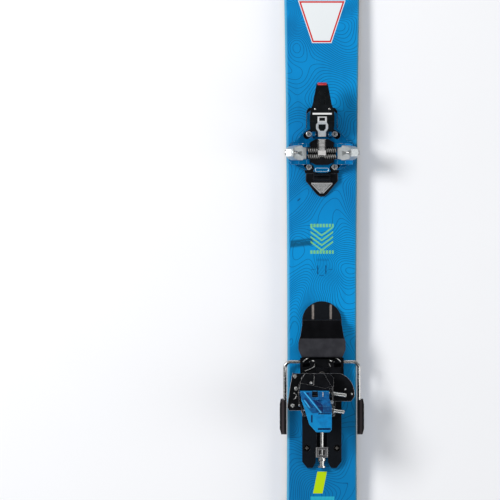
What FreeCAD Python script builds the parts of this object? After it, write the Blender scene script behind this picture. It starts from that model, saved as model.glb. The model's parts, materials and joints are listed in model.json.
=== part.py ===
"""Alpine touring ski with a pin binding: toe piece, brake, turning heel tower and climbing aid.

Millimetres. +Y points to the ski's tip, +X to the right, +Z up. The origin is under the middle
of the ski's length, on the surface that the ski stands on.
"""
import FreeCAD, Part
import math
import os

Vector = FreeCAD.Vector

# --- Ski -------------------------------------------------------------------------------------
SKI_LENGTH = 1840.0
HALF_LENGTH = SKI_LENGTH / 2
WAIST_HALF = 49.0
WAIST_Y = -200.0
SIDECUT = 1.78e-5            # half width gained per square millimetre from the waist
SHOVEL_Y = 730.0
TAIL_CORNER_Y = -820.0
CAMBER = 2.5
TIP_RISE = 62.0
TAIL_RISE = 20.0
FRONT_CONTACT_Y = 560.0
REAR_CONTACT_Y = -760.0
FLAT_FRONT_Y = 150.0
FLAT_REAR_Y = -374.0
THICK_MIDDLE = 24.0
THICK_END = 11.0
PROFILE_STEPS = 12
TOP = CAMBER + THICK_MIDDLE   # height of the ski's top surface under the binding

BASE_THICK = 1.4
EDGE_HEIGHT = 2.2
EDGE_WIDTH = 2.2
LOWER_LAMINATE_TOP = 6.4
DAMPING_TOP = 8.2
SIDEWALL_WIDTH = 7.0
UPPER_LAMINATE = 1.0
TOPSHEET = 0.6

# --- Toe piece -------------------------------------------------------------------------------
TOE_Y = 79.0
TOE_BASE_HEIGHT = 7.8
TOE_PLATE_GAP = 0.05
TOE_PLATE_TOP = 13.1
TOE_SCREW_X = 18.4
TOE_SCREW_DY = 23.5
TOE_SCREW_MID_Y = 82.5
JAW_PIVOT_X = 27.0
JAW_PIVOT_H = 19.0
JAW_OPEN = 14.0              # degrees that the jaws stand open at rest
TOE_PIN_H = 46.4             # pin height with the jaws closed
TOE_PIN_R = 2.4
TOE_PIN_SHANK_R = 3.0
TOE_PIN_TIP_X = 27.5
JAW_FACE_X = 33.2
LEVER_PIVOT_Y = 106.0
LEVER_PIVOT_H = 20.5
LEVER_HALF = 17.4
SPRING_H = 17.6
SPRING_R = 2.9
SPRING_WIRE_R = 0.75
CLIP_Y = 44.0
CLIP_H = 13.6

# --- Heel piece ------------------------------------------------------------------------------
TURRET_Y = -263.0
TRACK_HALF = 28.0
TRACK_FRONT_Y = -132.4
TRACK_REAR_Y = -370.0
TRACK_HEIGHT = 9.6
CHANNEL_HALF = 10.0
CHANNEL_LIP = 7.5
CHANNEL_FLOOR = 3.4
LIP_BOTTOM = 7.0
HEEL_SCREW_X = 21.4
HEEL_SCREW_FRONT_Y = -176.0
HEEL_SCREW_REAR_Y = -341.6
SLIDE_GAP = 0.05
CARRIAGE_REAR_Y = -300.0
BRAKE_AXIS_Y = -218.4
BRAKE_AXIS_H = 14.2
BRAKE_WIRE_R = 2.5
BRAKE_WIRE_X = 52.8
BRAKE_BEND_R = 9.0
BRAKE_WIRE_END_Y = -300.0
ADJUSTER_H = 8.0
ADJUSTER_R = 2.6
POST_R = 17.5
SPINDLE_R = 8.0
FOOT_BOTTOM = 33.6
FLANGE_BOTTOM = 44.0
HOUSING_BOTTOM = 52.0
PLATE_LOW = 64.0
PLATE_THICK = 1.5
PLATE_HIGH = 69.0
COVER_BOTTOM = 70.5
COVER_TOP = 75.0
HEEL_PIN_H = 59.2
HEEL_PIN_R = 2.9
HEEL_PIN_TURN = -8.0
HEEL_PIN_ENDS = ((-262.8, 34.5), (-286.8, 31.5))   # (y, x of the free end)
HEEL_PIN_ROOT_X = 8.5
HEEL_COLLAR_R = 3.5
HEEL_COLLAR_END_X = 17.0
TOWER_FACE_X = 16.0
AID_Y = -262.0
AID_H = 79.0
LOCK_SPRING_Y = -235.8
VALUE_SCREW_X = 13.4
VALUE_SCREW_Y = -274.5

# --- Fasteners -------------------------------------------------------------------------------
SCREW_SHANK_R = 2.5
SCREW_HEAD_R = 4.4
SCREW_HEAD_HEIGHT = 3.2
SCREW_DEPTH = 13.0
PIVOT_R = 2.0
RUNNING_GAP = 0.05

OUT = "parts"


# --- Small tools -----------------------------------------------------------------------------
def box(x0, x1, y0, y1, h0, h1):
    """Block between two corners; the heights are above the ski's top surface."""
    return Part.makeBox(x1 - x0, y1 - y0, h1 - h0, Vector(x0, y0, TOP + h0))


def cylinder_x(radius, x0, x1, y, h):
    return Part.makeCylinder(radius, x1 - x0, Vector(x0, y, TOP + h), Vector(1, 0, 0))


def cylinder_y(radius, y0, y1, x, h):
    return Part.makeCylinder(radius, y1 - y0, Vector(x, y0, TOP + h), Vector(0, 1, 0))


def cylinder_z(radius, h0, h1, x, y):
    return Part.makeCylinder(radius, h1 - h0, Vector(x, y, TOP + h0))


def plan_prism(points, h0, h1):
    """Straight-sided prism from (x, y) corners."""
    corners = [Vector(x, y, TOP + h0) for x, y in points]
    face = Part.Face(Part.makePolygon(corners + corners[:1]))
    return face.extrude(Vector(0, 0, h1 - h0))


def side_prism(points, x0, x1):
    """Straight-sided prism from (y, height) corners."""
    corners = [Vector(x0, y, TOP + h) for y, h in points]
    face = Part.Face(Part.makePolygon(corners + corners[:1]))
    return face.extrude(Vector(x1 - x0, 0, 0))


def front_prism(points, y0, y1):
    """Straight-sided prism from (x, height) corners."""
    corners = [Vector(x, y0, TOP + h) for x, h in points]
    face = Part.Face(Part.makePolygon(corners + corners[:1]))
    return face.extrude(Vector(0, y1 - y0, 0))


def both_sides(points):
    """Closes a right-hand half outline with its mirror image."""
    return points + [(-x, y) for x, y in reversed(points)]


def mirror_x(shape):
    return shape.mirror(Vector(0, 0, 0), Vector(1, 0, 0))


def rounded(shape, radius, chosen):
    """Fillets the edges that the test picks."""
    edges = [edge for edge in shape.Edges if chosen(edge)]
    return shape.makeFillet(radius, edges)


def is_upright(edge):
    direction = edge.tangentAt(edge.FirstParameter)
    return abs(direction.z) > 0.999


def at_height(height):
    """Picks the edges that lie flat at one height above the ski."""
    def test(edge):
        bounds = edge.BoundBox
        return abs(bounds.ZMin - TOP - height) < 0.01 and abs(bounds.ZMax - TOP - height) < 0.01
    return test


def coil_x(x0, x1, y, h, radius, wire_radius, turns):
    """Coil spring with its axis along X."""
    length = x1 - x0
    helix = Part.makeHelix(length / turns, length, radius)
    slope = length / turns / (2 * math.pi * radius)
    ring = Part.Wire(Part.makeCircle(wire_radius, Vector(radius, 0, 0), Vector(0, 1, slope)))
    coil = Part.Wire(helix).makePipeShell([ring], True, True)
    coil.rotate(Vector(0, 0, 0), Vector(0, 1, 0), 90)
    coil.translate(Vector(x0, y, TOP + h))
    return coil


def coil_z(x, y, h0, h1, radius, wire_radius, turns):
    """Coil spring with its axis upright."""
    length = h1 - h0
    helix = Part.makeHelix(length / turns, length, radius)
    slope = length / turns / (2 * math.pi * radius)
    ring = Part.Wire(Part.makeCircle(wire_radius, Vector(radius, 0, 0), Vector(0, 1, slope)))
    coil = Part.Wire(helix).makePipeShell([ring], True, True)
    coil.translate(Vector(x, y, TOP + h0))
    return coil


def save(name, shape):
    shape.exportStep(OUT + "/" + name + ".step")


# --- Ski -------------------------------------------------------------------------------------
def smooth(value):
    value = min(max(value, 0.0), 1.0)
    return value * value * (3 - 2 * value)


def base_height(y):
    """Height of the running surface: flat under the binding, cambered, raised at both ends."""
    if y > FLAT_FRONT_Y:
        camber = CAMBER * (1 - smooth((y - FLAT_FRONT_Y) / (FRONT_CONTACT_Y - FLAT_FRONT_Y)))
        lift = max(0.0, (y - FRONT_CONTACT_Y) / (HALF_LENGTH - FRONT_CONTACT_Y))
        return camber + TIP_RISE * lift ** 2.2
    if y < FLAT_REAR_Y:
        camber = CAMBER * (1 - smooth((FLAT_REAR_Y - y) / (FLAT_REAR_Y - REAR_CONTACT_Y)))
        lift = max(0.0, (REAR_CONTACT_Y - y) / (HALF_LENGTH + REAR_CONTACT_Y))
        return camber + TAIL_RISE * lift ** 2.2
    return CAMBER


def thickness(y):
    """Full under the binding, thinning towards the tip and the tail."""
    if y > FLAT_FRONT_Y:
        part = (y - FLAT_FRONT_Y) / (HALF_LENGTH - FLAT_FRONT_Y)
    elif y < FLAT_REAR_Y:
        part = (FLAT_REAR_Y - y) / (HALF_LENGTH + FLAT_REAR_Y)
    else:
        part = 0.0
    return THICK_MIDDLE - (THICK_MIDDLE - THICK_END) * (2 * part - part * part)


def profile_curve(height_at, y0, y1):
    """Smooth curve in the side view, from a height formula."""
    points = []
    for step in range(PROFILE_STEPS + 1):
        y = y0 + (y1 - y0) * step / PROFILE_STEPS
        points.append(Vector(0, y, height_at(y)))
    curve = Part.BSplineCurve()
    curve.interpolate(points)
    return curve.toShape()


def profile_edges(height_at):
    """The side view's line from the tail to the tip."""
    rear = profile_curve(height_at, -HALF_LENGTH, FLAT_REAR_Y)
    middle = Part.makeLine(Vector(0, FLAT_REAR_Y, height_at(FLAT_REAR_Y)),
                           Vector(0, FLAT_FRONT_Y, height_at(FLAT_FRONT_Y)))
    front = profile_curve(height_at, FLAT_FRONT_Y, HALF_LENGTH)
    return [rear, middle, front]


def layer(low, high):
    """Sheet of unlimited width between two height formulas."""
    ends = []
    for y in (-HALF_LENGTH, HALF_LENGTH):
        ends.append(Part.makeLine(Vector(0, y, low(y)), Vector(0, y, high(y))))
    wire = Part.Wire(Part.__sortEdges__(profile_edges(low) + profile_edges(high) + ends))
    sheet = Part.Face(wire).extrude(Vector(200, 0, 0))
    sheet.translate(Vector(-100, 0, 0))
    return sheet


def half_width(y):
    return WAIST_HALF + SIDECUT * (y - WAIST_Y) ** 2


def plan_outline(inset):
    """The ski seen from above, a parabola on each side, a round tip and a squared tail."""
    slope_front = 2 * SIDECUT * (SHOVEL_Y - WAIST_Y)
    slope_rear = 2 * SIDECUT * (TAIL_CORNER_Y - WAIST_Y)
    shovel = Vector(half_width(SHOVEL_Y) - inset, SHOVEL_Y, 0)
    tail = Vector(half_width(TAIL_CORNER_Y) - inset, TAIL_CORNER_Y, 0)
    middle_y = (SHOVEL_Y + TAIL_CORNER_Y) / 2
    middle_x = tail.x + slope_rear * (middle_y - TAIL_CORNER_Y)
    side = Part.BezierCurve()
    side.setPoles([tail, Vector(middle_x, middle_y, 0), shovel])
    tip_y = HALF_LENGTH - inset
    tip = Part.BezierCurve()
    tip.setPoles([shovel, Vector(shovel.x + slope_front * 60, SHOVEL_Y + 60, 0),
                  Vector(0.62 * shovel.x, tip_y, 0), Vector(0, tip_y, 0)])
    tail_y = -HALF_LENGTH + inset
    end = Part.BezierCurve()
    end.setPoles([Vector(0, tail_y, 0), Vector(0.92 * tail.x, tail_y, 0),
                  Vector(tail.x - slope_rear * 45, TAIL_CORNER_Y - 45, 0), tail])
    right = [end.toShape(), side.toShape(), tip.toShape()]
    left = [mirror_x(edge) for edge in right]
    return Part.Wire(Part.__sortEdges__(right + left))


def plan_column(inset):
    column = Part.Face(plan_outline(inset)).extrude(Vector(0, 0, 200))
    column.translate(Vector(0, 0, -50))
    return column


def side_half(sign):
    width = 100 * sign
    return Part.makeBox(100, 2 * SKI_LENGTH, 300, Vector(min(width, 0), -SKI_LENGTH, -100))


def above_base(offset):
    return lambda y: base_height(y) + offset


def below_top(offset):
    return lambda y: base_height(y) + thickness(y) - offset


def screw_places():
    """(x, y, top height of the shank) of every screw that enters the ski."""
    toe = [(sx * TOE_SCREW_X, TOE_SCREW_MID_Y + sy * TOE_SCREW_DY) for sx in (-1, 1) for sy in (-1, 1)]
    heel = [(sx * HEEL_SCREW_X, y) for sx in (-1, 1) for y in (HEEL_SCREW_FRONT_Y, HEEL_SCREW_REAR_Y)]
    return toe, heel


def screw_holes():
    toe, heel = screw_places()
    holes = [cylinder_z(SCREW_SHANK_R, -SCREW_DEPTH, 1.0, x, y) for x, y in toe + heel]
    return Part.makeCompound(holes)


def ski_parts():
    full = plan_column(0)
    inside_edges = plan_column(EDGE_WIDTH)
    inside_walls = plan_column(SIDEWALL_WIDTH)
    holes = screw_holes()
    skin = UPPER_LAMINATE + TOPSHEET

    save("base", inside_edges.common(layer(above_base(0), above_base(BASE_THICK))))
    rubber = layer(above_base(BASE_THICK), above_base(EDGE_HEIGHT))
    save("edge_rubber", inside_edges.common(rubber))
    edge_ring = full.cut(inside_edges).common(layer(above_base(0), above_base(EDGE_HEIGHT)))
    wall_layer = layer(above_base(DAMPING_TOP), below_top(skin))
    wall_ring = full.cut(inside_walls).common(wall_layer)
    for name, sign in (("left", -1), ("right", 1)):
        half = side_half(sign)
        save("edge_" + name, edge_ring.common(half))
        save("sidewall_" + name, wall_ring.common(half))
    save("lower_laminate", full.common(layer(above_base(EDGE_HEIGHT), above_base(LOWER_LAMINATE_TOP))))
    save("damping_layer", full.common(layer(above_base(LOWER_LAMINATE_TOP), above_base(DAMPING_TOP))))
    save("core", inside_walls.common(wall_layer).cut(holes))
    save("upper_laminate", full.common(layer(below_top(skin), below_top(TOPSHEET))).cut(holes))
    save("topsheet", full.common(layer(below_top(TOPSHEET), below_top(0))).cut(holes))


def mounting_screws(places, head_bottom):
    """Pan-head screws with a cross-shaped recess."""
    screws = []
    for x, y in places:
        head = cylinder_z(SCREW_HEAD_R, head_bottom, head_bottom + SCREW_HEAD_HEIGHT, x, y)
        head = rounded(head, 0.9, at_height(head_bottom + SCREW_HEAD_HEIGHT))
        shank = cylinder_z(SCREW_SHANK_R, -SCREW_DEPTH, head_bottom, x, y)
        screw = head.fuse(shank).removeSplitter()
        top = head_bottom + SCREW_HEAD_HEIGHT
        for arm in (box(x - 2.6, x + 2.6, y - 0.5, y + 0.5, top - 1.8, top + 1),
                    box(x - 0.5, x + 0.5, y - 2.6, y + 2.6, top - 1.8, top + 1)):
            screw = screw.cut(arm)
        screws.append(screw)
    return Part.makeCompound(screws)


# --- Toe piece -------------------------------------------------------------------------------
def toe_base():
    """Moulded base that is screwed to the ski and carries the turning plate."""
    outline = both_sides([(18.5, 143.5), (22, 139), (22.5, 112), (36, 95), (36, 66), (24.5, 54), (24.5, 50)])
    base = plan_prism(outline, 0, TOE_BASE_HEIGHT)
    base = rounded(base, 2.0, is_upright)
    toe, _ = screw_places()
    for x, y in toe:
        base = base.cut(cylinder_z(SCREW_SHANK_R, -1, TOE_BASE_HEIGHT + 1, x, y))
    hub = cylinder_z(9.0, TOE_BASE_HEIGHT, TOE_PLATE_TOP, 0, TOE_Y)
    return base.fuse(hub).removeSplitter()


def screw_window(x, y):
    """Arc-shaped opening that lets the plate turn round a fixed screw head."""
    radius = math.hypot(x, y - TOE_Y)
    middle = math.atan2(y - TOE_Y, x)
    swing = math.radians(6.5)
    reach = SCREW_HEAD_R + 0.7
    ring = cylinder_z(radius + reach, TOE_BASE_HEIGHT - 1, TOE_PLATE_TOP + 1, 0, TOE_Y)
    ring = ring.cut(cylinder_z(radius - reach, TOE_BASE_HEIGHT - 1, TOE_PLATE_TOP + 1, 0, TOE_Y))
    far = 2 * radius
    wedge = [(0, TOE_Y)]
    for angle in (middle - swing, middle + swing):
        wedge.append((far * math.cos(angle), TOE_Y + far * math.sin(angle)))
    window = ring.common(plan_prism(wedge, TOE_BASE_HEIGHT - 2, TOE_PLATE_TOP + 2))
    for angle in (middle - swing, middle + swing):
        place_x = radius * math.cos(angle)
        place_y = TOE_Y + radius * math.sin(angle)
        window = window.fuse(cylinder_z(reach, TOE_BASE_HEIGHT - 1, TOE_PLATE_TOP + 1, place_x, place_y))
    return window


def jaw_lug(y0, y1):
    """Cross wall on the plate that holds one end of both jaw pivots."""
    wall = front_prism([(16.6, TOE_PLATE_TOP - 1), (44, TOE_PLATE_TOP - 1), (44, 16), (33, 25.5), (22, 25.5),
                        (16.6, 20)], y0, y1)
    return wall.cut(cylinder_y(PIVOT_R, y0 - 1, y1 + 1, JAW_PIVOT_X, JAW_PIVOT_H))


def toe_plate():
    """Anodised plate that turns on the base; it carries the jaws and the lever."""
    low = TOE_BASE_HEIGHT + TOE_PLATE_GAP
    outline = both_sides([(15, 140), (21.4, 135), (21.4, 115), (37, 96), (44, 94), (47.5, 89), (47.5, 69),
                          (44, 64.5), (24.5, 54.7), (14.5, 54.3), (11.7, 52.6), (6, 50.7)])
    plate = plan_prism(outline, low, TOE_PLATE_TOP)
    plate = rounded(plate, 1.6, is_upright)
    toe, _ = screw_places()
    for x, y in toe:
        plate = plate.cut(screw_window(x, y))
    plate = plate.cut(cylinder_z(9.0 + RUNNING_GAP, low - 1, TOE_PLATE_TOP + 1, 0, TOE_Y))
    for side in (1, -1):
        for y0, y1 in ((87.0, 92.0), (62.5, 69.5)):
            lug = jaw_lug(y0, y1)
            plate = plate.fuse(lug if side > 0 else mirror_x(lug))
        ear = side_prism([(99.5, TOE_PLATE_TOP - 1), (112.5, TOE_PLATE_TOP - 1), (110.5, 21), (109, 24.5),
                          (103, 24.5), (100.5, 21)], 9.6, 14.0)
        ear = ear.cut(cylinder_x(PIVOT_R, 9, 15, LEVER_PIVOT_Y, LEVER_PIVOT_H))
        plate = plate.fuse(ear if side > 0 else mirror_x(ear))
    return plate.removeSplitter()


def jaw_closed():
    """Right-hand jaw in its closed position, with its bore for the toe pin."""
    arm = front_prism([(23.2, 15.5), (31.5, 15.5), (33.5, 22), (43.5, 39), (43.5, 51.5), (36, 52.5),
                       (34, 50), (33.6, 41), (23.2, 24)], 66, 92)
    sides = side_prism([(70.1, 12), (86.6, 12), (86.6, 27.2), (89.5, 29), (86, 46), (83.5, 53), (74, 53),
                        (68.5, 34), (68.5, 27.2), (70.1, 27.2)], 20, 50)
    jaw = arm.common(sides)
    jaw = jaw.fuse(cylinder_y(5.0, 70.1, 86.6, JAW_PIVOT_X, JAW_PIVOT_H))
    jaw = jaw.fuse(cylinder_x(5.2, JAW_FACE_X, 44.6, TOE_Y, TOE_PIN_H))
    jaw = jaw.cut(side_prism([(74.2, 28), (82, 28), (79, 38.5)], 10, 60))
    for y in (73.0, 83.0):
        jaw = jaw.cut(box(28, 50, y - 1.0, y + 1.0, 17, 24.5))
    jaw = jaw.cut(cylinder_x(TOE_PIN_SHANK_R, 20, 60, TOE_Y, TOE_PIN_H))
    return jaw.cut(cylinder_y(PIVOT_R + RUNNING_GAP, 60, 95, JAW_PIVOT_X, JAW_PIVOT_H)).removeSplitter()


def toe_pin_closed():
    """Pin with a bullet nose that enters the boot's toe socket."""
    free = cylinder_x(TOE_PIN_R, TOE_PIN_TIP_X + 2.5, JAW_FACE_X, TOE_Y, TOE_PIN_H)
    nose = Part.makeCone(0.9, TOE_PIN_R, 2.5, Vector(TOE_PIN_TIP_X, TOE_Y, TOP + TOE_PIN_H), Vector(1, 0, 0))
    shank = cylinder_x(TOE_PIN_SHANK_R, JAW_FACE_X, 46.0, TOE_Y, TOE_PIN_H)
    head = cylinder_x(3.8, 44.6, 46.0, TOE_Y, TOE_PIN_H)
    return free.fuse(nose).fuse(shank).fuse(head).removeSplitter()


def opened(shape):
    """Turns a right-hand piece from the closed to the open position."""
    turned = shape.copy()
    turned.rotate(Vector(JAW_PIVOT_X, 0, TOP + JAW_PIVOT_H), Vector(0, 1, 0), JAW_OPEN)
    return turned


def spring_block():
    """Moulded block between the jaws: a cradle for the two springs, arched at the front."""
    slab = box(-20, 20, 70, 86.5, TOE_PLATE_TOP, 14.6)
    front = plan_prism(both_sides([(9, 98.6), (16, 94.5), (21, 89.5), (21, 86.5)]), TOE_PLATE_TOP, 21.4)
    rear = plan_prism(both_sides([(20, 70), (20, 68), (9, 62)]), TOE_PLATE_TOP, 21.4)
    middle = box(-3, 3, 70, 86.5, 14.6, 21.4)
    block = slab.fuse(front).fuse(rear).fuse(middle)
    for y in (73.6, 82.8):
        block = block.cut(cylinder_x(SPRING_R + SPRING_WIRE_R + 0.2, -30, 30, y, SPRING_H))
    for side in (1, -1):
        for y0, y1 in ((87.0, 92.0), (62.5, 69.5)):
            lug = box(16.4, 50, y0 - 0.2, y1 + 0.2, 10, 30)
            block = block.cut(lug if side > 0 else mirror_x(lug))
    return block.removeSplitter()


def toe_springs():
    coils = [coil_x(-20.5, 20.5, y, SPRING_H, SPRING_R, SPRING_WIRE_R, 14) for y in (73.6, 82.8)]
    return Part.makeCompound(coils)


def toe_spring_rods():
    rods = [cylinder_x(1.6, -21.0, 21.0, y, SPRING_H) for y in (73.6, 82.8)]
    return Part.makeCompound(rods)


def toothed_strip():
    """Locking strip with cross ribs, on top of the spring block."""
    strip = box(-5.6, 5.6, 75.5, 98.4, 21.4, 22.6)
    for step in range(8):
        y = 83.0 + 1.9 * step
        strip = strip.fuse(box(-3.8, 3.8, y, y + 0.9, 22.6, 23.3))
    return strip.removeSplitter()


def jaw_pivots():
    pin = cylinder_y(PIVOT_R, 61.9, 92.6, JAW_PIVOT_X, JAW_PIVOT_H)
    return Part.makeCompound([pin, mirror_x(pin)])


def lever_plan(y_reach):
    """Lever seen from above: narrow at the finger tip, full width at the pivot."""
    return plan_prism(both_sides([(5.4, y_reach), (13.6, 147), (16.6, 139.5), (LEVER_HALF, 131),
                                  (LEVER_HALF, 118), (15.5, 104)]), -5, 90)


def lever_arm():
    body = side_prism([(174.2, 52.1), (177.0, 45.0), (141.1, 39.2), (137.5, 36.0), (131.0, 35.5),
                       (124.8, 22.1), (117.3, 24.3), (108.9, 33.8), (123.3, 49.4), (128, 50.2)], -20, 20)
    boss = cylinder_x(6.1, -LEVER_HALF, LEVER_HALF, 134.4, 40.2)
    lever = body.fuse(boss).common(lever_plan(190))
    hollow = side_prism([(168, 44.6), (142, 40.6), (138, 37), (138, 30), (170, 30)], -9, 9)
    for side in (1, -1):
        groove = side_prism([(165, 55), (165, 50.9), (146, 49.8), (146, 55)], 3.0 * side, 4.6 * side)
        lever = lever.cut(groove)
    lever = lever.cut(hollow)
    for x0, x1 in ((-20, -LEVER_HALF + 1.2), (LEVER_HALF - 1.2, 20)):
        lever = lever.cut(cylinder_x(2.4, x0, x1, 134.4, 40.2))
    return lever.removeSplitter()


def lever_tip():
    """Red cap over the end of the lever."""
    cap = side_prism([(178.6, 45.3), (177.0, 45.0), (174.2, 52.1), (176.0, 52.6)], -6.4, 6.4)
    return cap


def lever_link():
    """Knuckle under the lever that turns on the lever's pivot."""
    body = side_prism([(117.3, 24.3), (108.9, 33.8), (102.6, 24.6), (101.9, 19.5), (106, 16.4), (111, 17.6)],
                      -8.8, 8.8)
    link = body.fuse(cylinder_x(4.1, -8.8, 8.8, LEVER_PIVOT_Y, LEVER_PIVOT_H))
    return link.cut(cylinder_x(PIVOT_R + RUNNING_GAP, -20, 20, LEVER_PIVOT_Y, LEVER_PIVOT_H)).removeSplitter()


def lever_inlay():
    """Metal frame with two windows on the back of the lever."""
    skin = side_prism([(130.0, 50.45), (128, 50.2), (123.3, 49.4), (108.9, 33.8), (102.9, 25.05),
                       (101.9, 25.7), (107.9, 34.7), (122.8, 50.7), (127.9, 51.5), (130.0, 51.75)], -9, 9)
    outline = plan_prism(both_sides([(6.6, 131), (6.6, 121.5), (8.6, 118.5), (8.6, 113), (5.6, 108.5),
                                     (5.6, 101)]), 0, 60)
    inlay = skin.common(outline)
    inlay = inlay.cut(box(-4.0, 4.0, 123.9, 128.4, 20, 60))
    shield = plan_prism(both_sides([(5.2, 119), (5.2, 113.5), (2.5, 110)]), 20, 60)
    return inlay.cut(shield)


def lever_pivot():
    return cylinder_x(PIVOT_R, -14.4, 14.4, LEVER_PIVOT_Y, LEVER_PIVOT_H)


def toe_pad():
    """Wedge behind the toe base, under the ball of the boot."""
    plan = plan_prism(both_sides([(23, 50), (23, 39), (8, 20.5), (3.5, 17.0)]), -1, 20)
    plan = rounded(plan, 2.0, is_upright)
    side = side_prism([(50, 0), (50, 7.6), (41, 7.6), (17, 3.2), (14, 3.0), (14, 0)], -30, 30)
    return plan.common(side)


def toe_pad_insert():
    """Ribbed metal insert on the wedge."""
    plan = plan_prism(both_sides([(15, 36.5), (15, 34.5), (2.5, 21.5)]), 0, 20)
    slope = (7.6 - 3.2) / (41 - 17)
    low_at = lambda y: 3.2 + slope * (y - 17)
    skin = side_prism([(38, low_at(38)), (38, low_at(38) + 0.8), (20, low_at(20) + 0.8), (20, low_at(20))],
                      -20, 20)
    insert = skin.common(plan)
    for step in range(6):
        y = 23.5 + 2.1 * step
        rib = side_prism([(y, low_at(y) + 0.7), (y + 0.9, low_at(y + 0.9) + 0.7), (y + 0.9, low_at(y) + 1.4),
                          (y, low_at(y) + 1.4)], -20, 20)
        insert = insert.fuse(rib.common(plan_prism(both_sides([(11.5, 35), (2.0, 24.0), (1.0, 23.0)]),
                                                   0, 20)))
    return insert.removeSplitter()


def crampon_clip():
    """Open C-shaped channel that takes the axle of a ski crampon."""
    ring = cylinder_x(5.7, -11.7, 11.7, CLIP_Y, CLIP_H).cut(cylinder_x(4.3, -12, 12, CLIP_Y, CLIP_H))
    mouth = side_prism([(CLIP_Y, CLIP_H), (CLIP_Y + 6, CLIP_H + 9), (CLIP_Y - 4, CLIP_H + 9)], -12, 12)
    foot = box(-11.7, 11.7, 41.0, 46.4, 7.6, 9.0)
    return ring.cut(mouth).fuse(foot).cut(cylinder_x(4.3, -12, 12, CLIP_Y, CLIP_H)).removeSplitter()


# --- Heel piece ------------------------------------------------------------------------------
def heel_track():
    """Long base plate with a T-shaped slot, arched at the front and forked at the rear."""
    arch = Part.Arc(Vector(TRACK_HALF, -163, TOP), Vector(0, TRACK_FRONT_Y, TOP),
                    Vector(-TRACK_HALF, -163, TOP))
    rear = [(-TRACK_HALF, -163), (-TRACK_HALF, -361), (-21, TRACK_REAR_Y), (-13, TRACK_REAR_Y),
            (-8.8, -362), (-8.8, -355), (8.8, -355), (8.8, -362), (13, TRACK_REAR_Y), (21, TRACK_REAR_Y),
            (TRACK_HALF, -361), (TRACK_HALF, -163)]
    sides = Part.makePolygon([Vector(x, y, TOP) for x, y in rear])
    outline = Part.Wire([arch.toShape()] + sides.Edges)
    plate = Part.Face(outline).extrude(Vector(0, 0, TRACK_HEIGHT))
    shape = side_prism([(-372, 0), (-372, 5), (-352, TRACK_HEIGHT), (-158, TRACK_HEIGHT), (-134, 6.2),
                        (-125, 3.5), (-125, 0)], -40, 40)
    track = plate.common(shape)
    track = track.cut(box(-CHANNEL_HALF, CHANNEL_HALF, -340, -196, CHANNEL_FLOOR, LIP_BOTTOM))
    track = track.cut(box(-CHANNEL_LIP, CHANNEL_LIP, -400, -196, CHANNEL_FLOOR, 20))
    _, heel = screw_places()
    for x, y in heel:
        track = track.cut(cylinder_z(SCREW_SHANK_R, -1, 20, x, y))
        track = track.cut(cylinder_z(SCREW_HEAD_R + 0.6, 5.4, 20, x, y))
    return track


def track_strips():
    """Pale wear strips on the arched front of the track."""
    strips = []
    for side in (1, -1):
        strip = side_prism([(-158, TRACK_HEIGHT), (-158, TRACK_HEIGHT + 0.5), (-137, 7.13), (-137, 6.63)],
                           side * 11.0, side * 14.4)
        strips.append(strip)
    return Part.makeCompound(strips)


def carriage():
    """Block that slides in the track and carries the brake and the heel tower."""
    low = TRACK_HEIGHT + SLIDE_GAP
    deck = plan_prism(both_sides([(17, -211), (17, -226), (TRACK_HALF, -228), (TRACK_HALF, -292),
                                  (22, CARRIAGE_REAR_Y)]), low, 14.0)
    front = side_prism([(-211.5, low), (-211.5, 17.5), (-214.5, 19.8), (-226, 19.8), (-226, low)],
                       -16.8, 16.8)
    rear_house = side_prism([(-226, low), (-226, 24.5), (-243, 24.5), (-245, 14), (-245, low)], -27.5, 27.5)
    tongue = box(-CHANNEL_LIP + SLIDE_GAP, CHANNEL_LIP - SLIDE_GAP, -296, -212, CHANNEL_FLOOR + 0.1, low + 1)
    foot = box(-CHANNEL_HALF + SLIDE_GAP, CHANNEL_HALF - SLIDE_GAP, -296, -212, CHANNEL_FLOOR + 0.1,
               LIP_BOTTOM - SLIDE_GAP)
    block = deck.fuse(front).fuse(rear_house).fuse(tongue).fuse(foot)
    block = block.fuse(box(-8, 8, -243, -227, 24.5, 28.6))
    for x0, x1 in ((27.3, 31.0), (-31.0, -27.3)):
        block = block.fuse(box(x0, x1, -243, -212.5, low, 17.5))
    block = block.cut(cylinder_x(BRAKE_WIRE_R + RUNNING_GAP, -35, 35, BRAKE_AXIS_Y, BRAKE_AXIS_H))
    bore = cylinder_y(ADJUSTER_R + RUNNING_GAP, -310, -250, 0, ADJUSTER_H)
    return block.cut(bore).removeSplitter()


def turret_post():
    """Fixed post with a spindle that the tower turns on."""
    post = cylinder_z(POST_R, 14.0, FOOT_BOTTOM - 0.1, 0, TURRET_Y)
    post = rounded(post, 1.2, at_height(FOOT_BOTTOM - 0.1))
    spindle = cylinder_z(SPINDLE_R, FOOT_BOTTOM - 0.1, PLATE_LOW - 2, 0, TURRET_Y)
    rear = box(-6, 6, TURRET_Y - 26, TURRET_Y, 14.0, 20.0)
    return post.fuse(spindle).fuse(rear).removeSplitter()


def lock_spring():
    return coil_z(0, LOCK_SPRING_Y, 29.4, 42.6, 3.2, 0.7, 6)


def lock_plunger():
    return cylinder_z(2.2, 28.6, 43.4, 0, LOCK_SPRING_Y)


def adjuster_screw():
    """Length adjuster: a threaded rod with a waisted head behind its bracket."""
    rod = cylinder_y(ADJUSTER_R, -356, -262, 0, ADJUSTER_H)
    head = cylinder_y(5.6, -369.5, -367, 0, ADJUSTER_H)
    waist = cylinder_y(3.6, -367, -360, 0, ADJUSTER_H)
    collar = cylinder_y(5.6, -360, -356, 0, ADJUSTER_H)
    slot = box(-6, 6, -370, -368.2, ADJUSTER_H - 0.6, ADJUSTER_H + 0.6)
    return rod.fuse(waist).fuse(head).fuse(collar).cut(slot).removeSplitter()


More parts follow.
